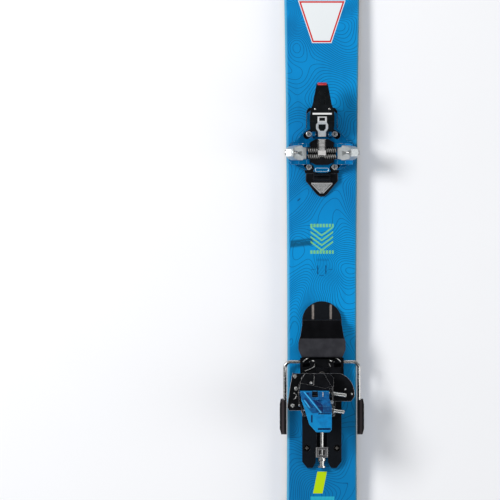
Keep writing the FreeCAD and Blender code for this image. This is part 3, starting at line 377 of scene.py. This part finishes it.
def blank_panel(g, y, away):
    """Panel in front of the toe piece, widest at its front: its mask, and its colour with a border."""
    middle_y, half_length = 266.5, 30.5
    front_half_width = 34.0
    taper = 0.33
    narrowing = g.times(g.subtract(middle_y + half_length, y), taper)
    from_side = g.subtract(g.subtract(front_half_width, narrowing), away)
    from_end = g.subtract(half_length, g.absolute(g.subtract(y, middle_y)))
    inward = g.lower(from_side, from_end)
    border = g.both(g.span(inward, 1.0, 1.25), g.under(inward, 3.3, 3.55))
    return g.span(inward, -0.1, 0.15), g.mix(border, srgb(232, 236, 238), srgb(205, 38, 44))


def lit_and_shaded_rims(g, x, y):
    """Painted highlight along the left rim and painted shade along the right rim, following the sidecut."""
    from_waist = g.subtract(y, WAIST_Y)
    half = g.add(g.times(g.times(from_waist, from_waist), SIDECUT), WAIST_HALF)
    return g.under(g.add(x, half), 1.2, 4.2), g.under(g.subtract(half, x), 0.6, 3.0)


def topsheet():
    """Printed topsheet: blue with contour lines and plain generic shapes, satin and a little worn; painted
    highlight on the left rim, painted shade on the right.
    """
    g = Graph("topsheet_print", Specular_IOR_Level=0.16)
    x, y, _ = g.axes()
    away = g.absolute(x)
    panel, panel_color = blank_panel(g, y, away)
    rim_highlight, rim_shade = lit_and_shaded_rims(g, x, y)
    scratch = g.span(g.noise(1.4, 5.0, (1, 26, 1), rough=0.75), 0.64, 0.74)
    color = g.paint(sheet_blue(g, y),
                    (contour_lines(g), 0.8, srgb(0, 62, 108)),
                    (brushed_wedge(g, x, y), 0.85, srgb(0, 74, 108)),
                    (middle_mark(g, x, y, away), 0.68, srgb(136, 214, 92)),
                    (boot_mark(g, x, y, away), 0.85, srgb(0, 60, 104)),
                    (slanted_patch(g, x, y), 1.0, srgb(190, 222, 14)),
                    (rear_bar(g, x, y), 0.6, srgb(60, 200, 214)),
                    (panel, 1.0, panel_color),
                    # Painted highlight on the left rim and painted shade on the right rim.
                    (rim_highlight, 0.75, srgb(104, 192, 228)),
                    (rim_shade, 0.75, srgb(66, 122, 132)),
                    (scratch, 0.14, srgb(80, 170, 214)))
    relief = g.add(g.times(g.noise(0.6, 3.0, rough=0.6), 0.5), g.times(panel, 1.2))
    return g.done(color, g.span(scratch, 0.0, 1.0, 0.4, 0.52), g.bump(relief, 0.03))


def lever_plastic():
    """Lever: black moulded plastic with one blank pale bar across its top."""
    g = Graph("lever_plastic", Specular_IOR_Level=0.12)
    bar_y, bar_half_width, bar_half = 134.0, 13.6, 1.25
    bar_z = TOP + 47.0
    x, y, z = g.axes()
    color = g.two_tone(g.noise(10.0, 4.0), 0.35, 0.7, srgb(5, 9, 11), srgb(14, 18, 21))
    bar = g.both(g.band(x, 0.0, bar_half_width), g.band(y, bar_y, bar_half), g.span(z, bar_z, bar_z + 0.4))
    color = g.mix(bar, color, srgb(226, 226, 226))
    return g.done(color, g.span(g.noise(5.0, 4.0), 0.3, 0.8, 0.34, 0.52), g.bump(g.noise(0.35, 3.0), 0.02))


def riser_plastic():
    """Climbing aid: painted shade on its ribbed slope and in its recesses, bright pad behind, painted
    highlights on its ribs and left of its front rib.
    """
    g = Graph("riser_plastic", Specular_IOR_Level=0.1)
    x, y, _ = g.axes()

    def right_of(start_x, start_y, slant):
        """How far to the right of a slanting line through the start the point is."""
        return g.add(g.subtract(x, start_x), g.times(g.subtract(y, start_y), slant))

    front_rib = right_of(-26.0, -271.0, 0.727)
    rear_rib = right_of(-19.6, -267.5, 0.816)
    slope_end_y = -288.4
    mottle = g.span(g.noise(6.0, 3.0), 0.35, 0.65)
    # The slope's darker blue is painted shade: it is the same plastic as the pad.
    slope = g.mix(mottle, srgb(0, 66, 118), srgb(0, 92, 152))
    pad = g.mix(mottle, srgb(0, 122, 186), srgb(0, 136, 204))
    color = g.mix(g.span(y, slope_end_y, slope_end_y - 2.0), slope, pad)

    # Painted shade in the trough by the front rib, the dip, the left channel, the grooves and the pocket.
    trough = g.both(g.band(front_rib, 3.6, 1.9, 0.8), g.band(y, -274.5, 7.0, 1.0))
    dip = g.both(g.span(y, -270.6, -271.2), g.span(x, 0.8, 0.3),
                 g.span(rear_rib, 2.2, 3.2), g.span(rear_rib, 13.0, 9.0))
    channel = g.both(g.band(x, -15.2, 1.2, 0.5), g.band(y, -297.5, 5.4, 1.0))
    grooves = g.both(g.band(x, 2.8, 9.0), g.either(g.band(y, -290.4, 0.9), g.band(y, -312.2, 1.4)))
    pocket = g.both(g.band(x, -21.2, 1.8), g.band(y, -262.4, 1.7))
    deep = g.either(g.times(trough, 0.75), dip, channel, grooves, pocket)
    # Painted highlights along the two ribs.
    ribs = g.either(g.both(g.band(front_rib, 0.0, 1.0, 0.3), g.band(y, -276.6, 5.6, 0.5)),
                    g.both(g.band(rear_rib, 0.0, 1.1, 0.3), g.span(y, slope_end_y - 1.0, slope_end_y - 0.2)))
    # Painted highlight left of the front rib, then the painted shade, then the rib highlights.
    color = g.paint(color,
                    (g.span(front_rib, -1.6, -3.4), 0.8, srgb(0, 142, 206)),
                    (deep, 1.0, srgb(0, 34, 84)),
                    (ribs, 0.8, srgb(60, 178, 236)))
    # The painted light and shade stay on faces that look up; the sides keep the pad's blue.
    color = g.mix(g.facing_up(), pad, color)
    return g.done(color, g.span(g.noise(4.0, 4.0), 0.3, 0.8, 0.34, 0.5), g.bump(g.noise(0.4, 3.0), 0.008))


def screw_finish(name, node, dark, light, recess):
    """Screws whose cross-shaped recess has another tone: painted shade in a bright screw's recess, a painted
    highlight in a dark screw's recess.
    """
    g = Graph(name, Metallic=0.9)
    _, _, z = g.axes()
    recess_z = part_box(node)[1].z / MM - 1.5
    marks = g.noise(1.4, 4.0, rough=0.6)
    color = g.two_tone(marks, 0.3, 0.7, dark, light)
    # The recess tone is painted shade or a painted highlight.
    color = g.mix(g.band(z, recess_z, 1.0, 0.2), color, recess)
    return g.done(color, g.span(marks, 0.25, 0.75, 0.2, 0.34), g.bump(marks, 0.003))


def paddle_plastic():
    """Brake paddles: dark plastic, paler on the outer half, with two long creases."""
    g = Graph("paddle_plastic", Specular_IOR_Level=0.14)
    x, y, _ = g.axes()
    away = g.absolute(x)
    color = g.two_tone(g.noise(9.0, 4.0, (1, 3, 1)), 0.35, 0.7, srgb(20, 18, 20), srgb(34, 31, 34))
    color = g.mix(g.band(away, 55.6, 1.7, 0.4), color, srgb(62, 55, 57))
    lines = g.either(g.band(away, 53.4, 0.5, 0.25), g.band(away, 57.8, 0.4, 0.25))
    creases = g.both(lines, g.span(y, -316.0, -312.0))
    color = g.paint(color, (creases, 0.7, srgb(8, 7, 8)))
    return g.done(color, g.span(g.noise(4.0, 4.0), 0.3, 0.8, 0.4, 0.56), g.bump(g.noise(0.4, 3.0), 0.02))


def ribbed_strip():
    """Pale strip with painted shade in the grooves between its raised ribs."""
    g = Graph("ribbed_strip", Metallic=0.4)
    _, y, z = g.axes()
    rib_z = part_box("toothed_strip")[1].z / MM
    marks = g.noise(0.4, 4.0, (12, 1, 1))
    pale = g.two_tone(marks, 0.3, 0.7, srgb(206, 204, 200), srgb(240, 238, 236))
    ribbed = g.both(g.span(y, 82.0, 82.8), g.under(y, 97.4, 98.2))
    # Painted shade on the groove floors below the rib tops.
    grooves = g.both(g.under(z, rib_z - 0.65, rib_z - 0.35), ribbed)
    color = g.paint(pale, (grooves, 0.94, srgb(30, 28, 28)))
    return g.done(color, g.span(marks, 0.2, 0.8, 0.28, 0.42), g.bump(marks, 0.004))


def framed_insert():
    """Wedge insert: bright rim round a darker ribbed field."""
    g = Graph("framed_insert", Metallic=0.7)
    apex_y = 18.9
    wide_end_y = 36.5
    rib_pitch = 2.1
    x, y, _ = g.axes()
    marks = g.noise(0.5, 4.0, (8, 1, 1))
    from_side = g.times(g.subtract(g.subtract(y, apex_y), g.absolute(x)), 0.72)
    inward = g.lower(g.subtract(wide_end_y, y), from_side)
    ribs = g.repeat(g.add(y, g.times(x, 0.5)), rib_pitch)
    field = g.two_tone(ribs, 0.35, 0.55, srgb(104, 106, 106), srgb(150, 152, 152))
    color = g.two_tone(inward, 0.9, 1.6, srgb(222, 222, 222), field)
    return g.done(color, g.span(marks, 0.2, 0.8, 0.3, 0.46), g.bump(marks, 0.01))


# The material of each slot of the record, but for slots whose nodes are all in OWN_FINISH.
FINISH = {
    "ptex": ptex(),
    "edge_steel": metal("edge_steel_ground", srgb(104, 92, 82), srgb(160, 150, 138), 0.36, (1, 50, 1),
                        tarnish=srgb(96, 76, 60)),
    "damping_rubber": plastic("rubber_layer", srgb(24, 26, 30), srgb(38, 40, 44), 0.7, 0.5, 0.03),
    "glass_laminate": laminate(),
    "core_wood": wood(),
    "sidewall_blue": sidewall(),
    "topsheet_blue": topsheet(),
    "black_plastic": plastic("moulded_black", srgb(6, 7, 10), srgb(16, 17, 21), 0.42, specular=0.1),
    "steel_screws": metal("screw_steel", srgb(176, 176, 174), srgb(228, 228, 226), 0.22, (1, 1, 1), 1.6),
    "blue_anodised": anodised("anodised_blue", srgb(0, 104, 164), srgb(0, 130, 198), 0.3),
    "forged_aluminium": metal("forged_jaw", srgb(188, 193, 194), srgb(210, 214, 214), 0.43, (1, 4, 1),
                              metallic=0.7),
    "hard_steel": metal("hardened_steel", srgb(166, 166, 164), srgb(196, 196, 194), 0.2, (1, 1, 1), 2.4,
                        0.0008),
    "spring_steel": metal("spring_wire", srgb(70, 68, 66), srgb(140, 136, 132), 0.3, (4, 1, 1)),
    "polished_metal": metal("brushed_strip", srgb(206, 208, 210), srgb(240, 241, 242), 0.3, (1, 20, 12),
                            0.4, metallic=0.45),
    "red_plastic": plastic("red_cap", srgb(168, 14, 24), srgb(190, 26, 32), 0.38),
    "dark_blue_metal": anodised("anodised_dark_blue", srgb(0, 40, 74), srgb(4, 62, 100), 0.36),
    "black_metal": metal("black_anodised", srgb(9, 12, 17), srgb(17, 21, 27), 0.46, (1, 10, 1),
                         metallic=0.2, specular=0.12),
    "grey_plastic": plastic("matt_grey", srgb(42, 42, 47), srgb(55, 55, 60), 0.62, 0.5, 0.03),
    "gloss_black": plastic("gloss_pad", srgb(4, 4, 6), srgb(10, 10, 13), 0.14, 0.6, 0.004, 0.12),
}
# What shows where a corner is rubbed or cut bare.
EDGE = {
    "black_plastic": plastic("rubbed_black", srgb(22, 22, 24), srgb(52, 52, 56), 0.3, 0.5, 0.006, 0.4),
    "black_metal": metal("rubbed_black_metal", srgb(40, 40, 43), srgb(78, 78, 82), 0.3, metallic=0.8),
    "grey_plastic": plastic("rubbed_grey", srgb(54, 54, 58), srgb(74, 74, 78), 0.5, 0.5, 0.01, 0.3),
    "gloss_black": plastic("rubbed_gloss", srgb(14, 14, 16), srgb(34, 34, 38), 0.2, 0.6, 0.004, 0.5),
    "red_plastic": plastic("rubbed_red", srgb(204, 60, 62), srgb(220, 96, 96), 0.34, 0.5, 0.006, 0.4),
    "blue_anodised": metal("bare_edge", srgb(150, 200, 226), srgb(220, 238, 246), 0.26, (1, 4, 1), 0.8,
                           metallic=0.5),
    "dark_blue_metal": metal("bare_dark_edge", srgb(60, 100, 140), srgb(120, 150, 180), 0.26, (1, 4, 1),
                             0.8),
    "forged_aluminium": metal("bare_forging", srgb(170, 173, 174), srgb(204, 206, 206), 0.3, (1, 4, 1),
                              0.8),
    "polished_metal": metal("bare_strip", srgb(206, 208, 210), srgb(238, 238, 238), 0.24, (1, 4, 1), 0.8,
                            metallic=0.5),
    "hard_steel": metal("bare_steel", srgb(196, 196, 196), srgb(232, 232, 232), 0.2, (1, 4, 1), 0.8),
}
# Pale metal that paints highlights on the rounded edges of the heel tower's cover and wings.
EDGE_HIGHLIGHT = metal("edge_highlight", srgb(140, 138, 138), srgb(190, 190, 190), 0.28, (1, 1, 1), 3.0)
# Pale blue that paints highlights on the climbing aid's rounded edges and on its rib wires.
RISER_HIGHLIGHT = plastic("riser_highlight", srgb(60, 178, 236), srgb(124, 210, 244), 0.3, 0.5, 0.004, 0.2)
PADDLE = paddle_plastic()
# Nodes that look different from the rest of their slot.
OWN_FINISH = {
    # Bright screws with painted shade in their recesses, dark screws with a painted highlight in theirs.
    "toe_screws": screw_finish("bright_screws", "toe_screws", srgb(188, 188, 186), srgb(226, 226, 224),
                               srgb(26, 24, 24)),
    "heel_screws": screw_finish("dark_screws", "heel_screws", srgb(8, 8, 9), srgb(22, 22, 23),
                                srgb(176, 170, 164)),
    "toe_springs": metal("pale_spring", srgb(132, 132, 130), srgb(190, 190, 188), 0.34, (4, 1, 1),
                         metallic=0.7),
    "toe_spring_rods": metal("rod_steel", srgb(34, 33, 33), srgb(58, 56, 55), 0.34, (1, 1, 1), 1.2,
                             metallic=0.7),
    "toe_lever": lever_plastic(),
    "climbing_aid": riser_plastic(),
    "adjuster_bracket": metal("bracket_steel", srgb(82, 80, 80), srgb(128, 126, 126), 0.34, metallic=0.8),
    "toe_pad_insert": framed_insert(),
    "toothed_strip": ribbed_strip(),
    "track_strips": metal("wear_strip", srgb(112, 104, 100), srgb(160, 152, 146), 0.36, metallic=0.5),
    "brake_paddle_right": PADDLE,
    "brake_paddle_left": PADDLE,
}
# Edge materials of their own: painted highlights on the climbing aid's edges and on the tower's cover and
# wings.
OWN_EDGE = {"climbing_aid": RISER_HIGHLIGHT, "turret_cover": EDGE_HIGHLIGHT, "turret_flange": EDGE_HIGHLIGHT}


# --- Geometry tools --------------------------------------------------------------------------
def new_object(name, data):
    obj = bpy.data.objects.new(name, data)
    bpy.context.scene.collection.objects.link(obj)
    return obj


def new_mesh(name, work):
    """Mesh from a bmesh, which is freed."""
    mesh = bpy.data.meshes.new(name)
    work.to_mesh(mesh)
    work.free()
    return mesh


def add_piece(name, data, body, slot, finish=None):
    """Object with its material and its body; the slot picks the material where no finish is given."""
    piece = new_object(name, data)
    data.materials.append(finish or FINISH[slot])
    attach(piece, body)
    return piece


def soften(piece, width, edge):
    """Rounds a piece's corners by width mm and shows the edge material on them."""
    piece.data.materials.append(edge)
    bevel = piece.modifiers.new("bevel", "BEVEL")
    bevel.width = width * MM
    bevel.segments = CORNER_SEGMENTS
    bevel.limit_method = "ANGLE"
    bevel.angle_limit = CORNER_ANGLE
    bevel.use_clamp_overlap = True
    bevel.material = 1                  # the edge material, second of the two
    piece.modifiers.new("normals", "WEIGHTED_NORMAL")


def crisp(name, width):
    """Copy of a CAD node with small rounded edges, which then stands for the node."""
    node = frame["nodes"][name]
    slot = SLOT[name]
    work = bmesh.new()
    work.from_mesh(node.data)
    bmesh.ops.remove_doubles(work, verts=work.verts, dist=2e-6)
    bmesh.ops.dissolve_degenerate(work, edges=work.edges, dist=1e-6)
    bmesh.ops.dissolve_limit(work, angle_limit=math.radians(0.5), verts=work.verts, edges=work.edges)
    for index, vert in enumerate(work.verts):
        vert.index = index
    verts = [vert.co.copy() for vert in work.verts]
    faces = [[vert.index for vert in face.verts] for face in work.faces]
    work.free()
    mesh = bpy.data.meshes.new(name + "_shape")
    mesh.from_pydata(verts, [], faces)
    mesh.validate()
    mesh.shade_smooth()
    piece = add_piece("fine_" + name, mesh, node["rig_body"], slot, OWN_FINISH.get(name))
    soften(piece, width, OWN_EDGE.get(name) or EDGE[slot])
    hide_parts(name)


def lathe(name, profile, origin, axis, body, slot):
    """Turned piece: profile is (distance along the axis, radius) pairs in mm."""
    work = bmesh.new()
    rings = []
    for along, radius in profile:
        ring = []
        for step in range(LATHE_STEPS):
            angle = 2 * math.pi * step / LATHE_STEPS
            ring.append(work.verts.new((radius * math.cos(angle), radius * math.sin(angle), along)))
        rings.append(ring)
    for low, high in zip(rings, rings[1:]):
        for step in range(LATHE_STEPS):
            after = (step + 1) % LATHE_STEPS
            work.faces.new((low[step], low[after], high[after], high[step]))
    work.faces.new(list(reversed(rings[0])))
    work.faces.new(rings[-1])
    mesh = new_mesh(name, work)
    x, y, h = origin
    turn = Vector((0, 0, 1)).rotation_difference(Vector(axis)).to_matrix().to_4x4()
    mesh.transform(Matrix.Translation(Vector((x, y, TOP + h)) * MM) @ turn @ Matrix.Scale(MM, 4))
    mesh.shade_smooth()
    mesh.set_sharp_from_angle(angle=math.radians(40))
    add_piece(name, mesh, body, slot)


def round_wire(name, kind, points, radius, roundness):
    """Curve with a round section, and its spline; the points are X, Y and height in mm."""
    curve = bpy.data.curves.new(name, "CURVE")
    curve.dimensions = "3D"
    curve.bevel_depth = radius * MM
    curve.bevel_resolution = roundness
    spline = curve.splines.new(kind)
    spline.points.add(len(points) - 1)
    for point, (x, y, h) in zip(spline.points, points):
        point.co = (x * MM, y * MM, (TOP + h) * MM, 1.0)
    return curve, spline


def wire(name, points, radius, body, slot, finish=None):
    """Wire along a smooth curve, with closed ends."""
    curve, spline = round_wire(name, "NURBS", points, radius, 4)
    curve.use_fill_caps = True
    spline.order_u = 3
    spline.use_endpoint_u = True
    spline.resolution_u = 10
    add_piece(name, curve, body, slot, finish)


def latch(name, outline, x0, x1, body, slot):
    """Small moulded latch: a side outline of (Y, height) points between two X, in mm."""
    work = bmesh.new()
    ends = [[work.verts.new((x * MM, y * MM, (TOP + h) * MM)) for y, h in outline] for x in (x0, x1)]
    for index in range(len(outline)):
        after = (index + 1) % len(outline)
        work.faces.new((ends[0][index], ends[0][after], ends[1][after], ends[1][index]))
    work.faces.new(list(reversed(ends[0])))
    work.faces.new(ends[1])
    bmesh.ops.recalc_face_normals(work, faces=work.faces)
    mesh = new_mesh(name, work)
    mesh.shade_smooth()
    soften(add_piece(name, mesh, body, slot), 0.4, EDGE[slot])


# --- Frame materials and refined edges -------------------------------------------------------
for name, node in frame["nodes"].items():
    node.data.materials[0] = OWN_FINISH.get(name) or FINISH[SLOT[name]]

for name, width in (("toe_base", 0.7), ("spring_block", 0.5), ("toe_pad", 0.9), ("lever_tip", 0.6),
                    ("lever_inlay", 0.2), ("lever_link", 0.5), ("crampon_clip", 0.25), ("toe_plate", 0.8),
                    ("jaw_right", 0.5), ("jaw_left", 0.5), ("carriage", 0.6), ("brake_pedal", 0.8),
                    ("pedal_pad_front", 0.7), ("pedal_pad_rear", 0.7), ("turret_foot", 0.6),
                    ("turret_spacer", 0.4), ("heel_track", 0.7), ("turret_post", 0.4), ("spring_cap", 0.3),
                    ("lock_plunger", 0.3), ("turret_housing", 0.5), ("pin_plate", 0.2),
                    ("cover_plate", 0.2), ("toe_lever", 0.7), ("climbing_aid", 0.7),
                    ("adjuster_bracket", 0.4), ("toe_pad_insert", 0.25), ("toothed_strip", 0.2),
                    ("track_strips", 0.2), ("brake_paddle_right", 0.5), ("brake_paddle_left", 0.5),
                    ("turret_cover", 0.45), ("turret_flange", 0.6)):
    crisp(name, width)


# --- Small parts -----------------------------------------------------------------------------
def paired_details():
    """Lever pins and rivets, clips on the brake's axle and hooks under its pedal, on both sides."""
    up = (0, 0, 1)
    pin = ((0, 2.3), (0.7, 2.3), (1.0, 2.0), (1.05, 0.9), (0.8, 0.7))
    rivet = ((0, 1.3), (0.5, 1.3), (0.8, 0.9), (0.85, 0.3))
    clip = ((0, 1.5), (0.7, 1.5), (1.0, 1.1), (1.05, 0.4))
    hook = ((19.6, -213.0, 23.4), (22.0, -214.4, 23.2), (24.6, -216.6, 21.6), (26.2, -218.6, 19.4))
    for side, name in ((1, "right"), (-1, "left")):
        lathe("lever_pin_" + name, pin, (16.2 * side, 134.4, 40.2), (side, 0, 0), "lever", "hard_steel")
        lathe("lever_rivet_" + name, rivet, (10.2 * side, 140.6, 50.5), up, "lever", "hard_steel")
        lathe("axle_clip_" + name, clip, (12.8 * side, -217.2, 19.75), up, "heel_slider", "steel_screws")
        hook_points = [(x * side, y, h) for x, y, h in hook]
        wire("pedal_hook_" + name, hook_points, 1.15, "brake", "hard_steel")


def spring_legs():
    """The two ends of the brake's spring, on the carriage."""
    left = ((-9.6, -221.0, 20.9), (-10.4, -224.6, 25.6), (-14.4, -227.6, 25.6), (-19.0, -229.6, 25.6),
            (-24.0, -231.8, 25.4))
    right = ((10.2, -220.8, 20.8), (11.2, -223.4, 21.0), (12.4, -225.4, 21.0))
    wire("spring_leg_left", left, 0.9, "heel_slider", "hard_steel")
    wire("spring_leg_right", right, 1.0, "heel_slider", "hard_steel")


def tower_details():
    """Small screw heads on the heel tower's cover and right wing, and a bent wire on its left wing."""
    cover_front_h = COVER_H - 1.8
    heads = ((-16.2, -247.6, cover_front_h, 1.7), (14.2, -284.0, COVER_H, 1.0),
             (32.7, -256.9, FLANGE_H, 1.3), (42.0, -263.6, FLANGE_H, 1.4), (-26.5, -286.0, COVER_H, 1.2))
    for index, (x, y, h, radius) in enumerate(heads):
        head = ((0, radius), (0.5, radius), (0.8, radius * 0.7), (0.6, radius * 0.3))
        lathe("tower_rivet_" + str(index), head, (x, y, h - HEAD_SINK), (0, 0, 1), "tower", "steel_screws")
    mark = ((-40.8, -262.2), (-37.6, -262.8), (-36.0, -266.4), (-37.4, -270.0), (-40.6, -270.6))
    wire("wing_mark", [(x, y, FLANGE_H + 0.2) for x, y in mark], 0.5, "tower", "steel_screws")


def rib_height(y):
    """Height of the climbing aid's surface on its front slope or behind its crest."""
    foot_y, foot_h = AID_FOOT
    crest_y, crest_h = AID_CREST
    if y > crest_y:
        return foot_h + (foot_y - y) * AID_FRONT_SLOPE
    return crest_h - (crest_y - y) * AID_REAR_SLOPE


def aid_details():
    """The climbing aid's pin, its two slanting ribs and the catch under its front."""
    pin = ((0.6, -260.2, 92.9), (0.6, -263.0, 94.8), (0.6, -266.4, 97.0))
    wire("aid_rib_pin", pin, 0.6, "aid", "steel_screws")

    rib_radius = 0.6
    rib_sink = 0.7
    steps = 8
    for name, start, end in (("front", (-25.6, -271.6), (-18.4, -281.6)),
                             ("rear", (-19.0, -268.2), (-2.4, -288.4))):
        points = []
        for step in range(steps + 1):
            x = start[0] + (end[0] - start[0]) * step / steps
            y = start[1] + (end[1] - start[1]) * step / steps
            points.append((x, y, rib_height(y) - rib_sink))
        # The rib wires carry the pale blue of painted highlights.
        wire("aid_rib_" + name, points, rib_radius, "aid", "blue_plastic", RISER_HIGHLIGHT)

    catch = ((-267.0, 83.3), (-259.2, 83.3), (-259.2, 86.5), (-261.8, 86.5), (-262.6, 85.4),
             (-265.0, 85.4), (-265.8, 86.5), (-267.0, 86.5))
    latch("aid_catch", catch, -14.6, -6.6, "aid", "black_plastic")


def plate_lip():
    """Bright lip on the toe plate: a closed wire in the shape of a rounded rectangle."""
    half_x, rear_y, front_y = 9.4, 52.6, 57.4
    corner = 1.8
    corner_steps = 6
    lip_h = PLATE_H + 0.2
    points = []
    for cx, cy, start in ((half_x - corner, front_y - corner, 0), (-half_x + corner, front_y - corner, 90),
                          (-half_x + corner, rear_y + corner, 180), (half_x - corner, rear_y + corner, 270)):
        for step in range(corner_steps + 1):
            angle = math.radians(start + 90 * step / corner_steps)
            points.append((cx + corner * math.cos(angle), cy + corner * math.sin(angle), lip_h))
    curve, spline = round_wire("plate_lip", "POLY", points, 0.5, 3)
    spline.use_cyclic_u = True
    add_piece("plate_lip", curve, "toe_turntable", "blue_anodised", EDGE["blue_anodised"])


paired_details()
spring_legs()
tower_details()
aid_details()
plate_lip()


# --- Studio, in metres -----------------------------------------------------------------------
def area_light(name, place, aim, width, height, power):
    light = bpy.data.lights.new(name, "AREA")
    light.shape = "RECTANGLE"
    light.size = width
    light.size_y = height
    light.energy = power
    obj = new_object(name, light)
    obj.location = place
    obj.rotation_mode = "QUATERNION"
    obj.rotation_quaternion = (Vector(aim) - Vector(place)).to_track_quat("-Z", "Y")


def paper_floor():
    """Plain pale floor."""
    work = bmesh.new()
    bmesh.ops.create_grid(work, x_segments=1, y_segments=1, size=8.0)
    mesh = new_mesh("floor", work)
    g = Graph("floor_paper", Specular_IOR_Level=0.1)
    tone = g.mix(g.noise(300.0, 3.0), srgb(246, 246, 248), srgb(250, 250, 252))
    mesh.materials.append(g.done(tone, 0.9))
    new_object("floor", mesh)


def lighting():
    """Faint even light from all round, and four lamps aimed at the binding."""
    world = bpy.data.worlds.new("studio")
    world.use_nodes = True
    background = world.node_tree.nodes["Background"]
    background.inputs["Color"].default_value = (0.94, 0.97, 1.0, 1.0)
    background.inputs["Strength"].default_value = 0.3
    bpy.context.scene.world = world

    binding = (0.0, -0.06, 0.03)
    area_light("key", (-1.45, 0.6, 1.75), binding, 0.7, 0.7, 36.0)
    area_light("fill_right", (1.9, -0.3, 1.3), binding, 1.0, 1.8, 15.0)
    area_light("back", (-0.2, -2.3, 1.3), binding, 1.4, 0.6, 9.0)
    area_light("front", (0.1, 2.3, 1.3), binding, 1.4, 0.6, 9.0)


def photo_camera():
    """Straight down on the binding from far above, with a long lens."""
    distance = 9.0
    view_width = 0.71325
    view_x, view_y = -0.1024, -0.0593
    camera = bpy.data.cameras.new("camera")
    camera.sensor_width = 36.0
    camera.lens = camera.sensor_width * distance / view_width
    camera.clip_start = 0.1
    camera.clip_end = 40.0
    obj = new_object("camera", camera)
    obj.location = (view_x, view_y, TOP * MM + distance)
    bpy.context.scene.camera = obj


paper_floor()
lighting()
photo_camera()
bpy.context.scene.view_settings.view_transform = "Standard"
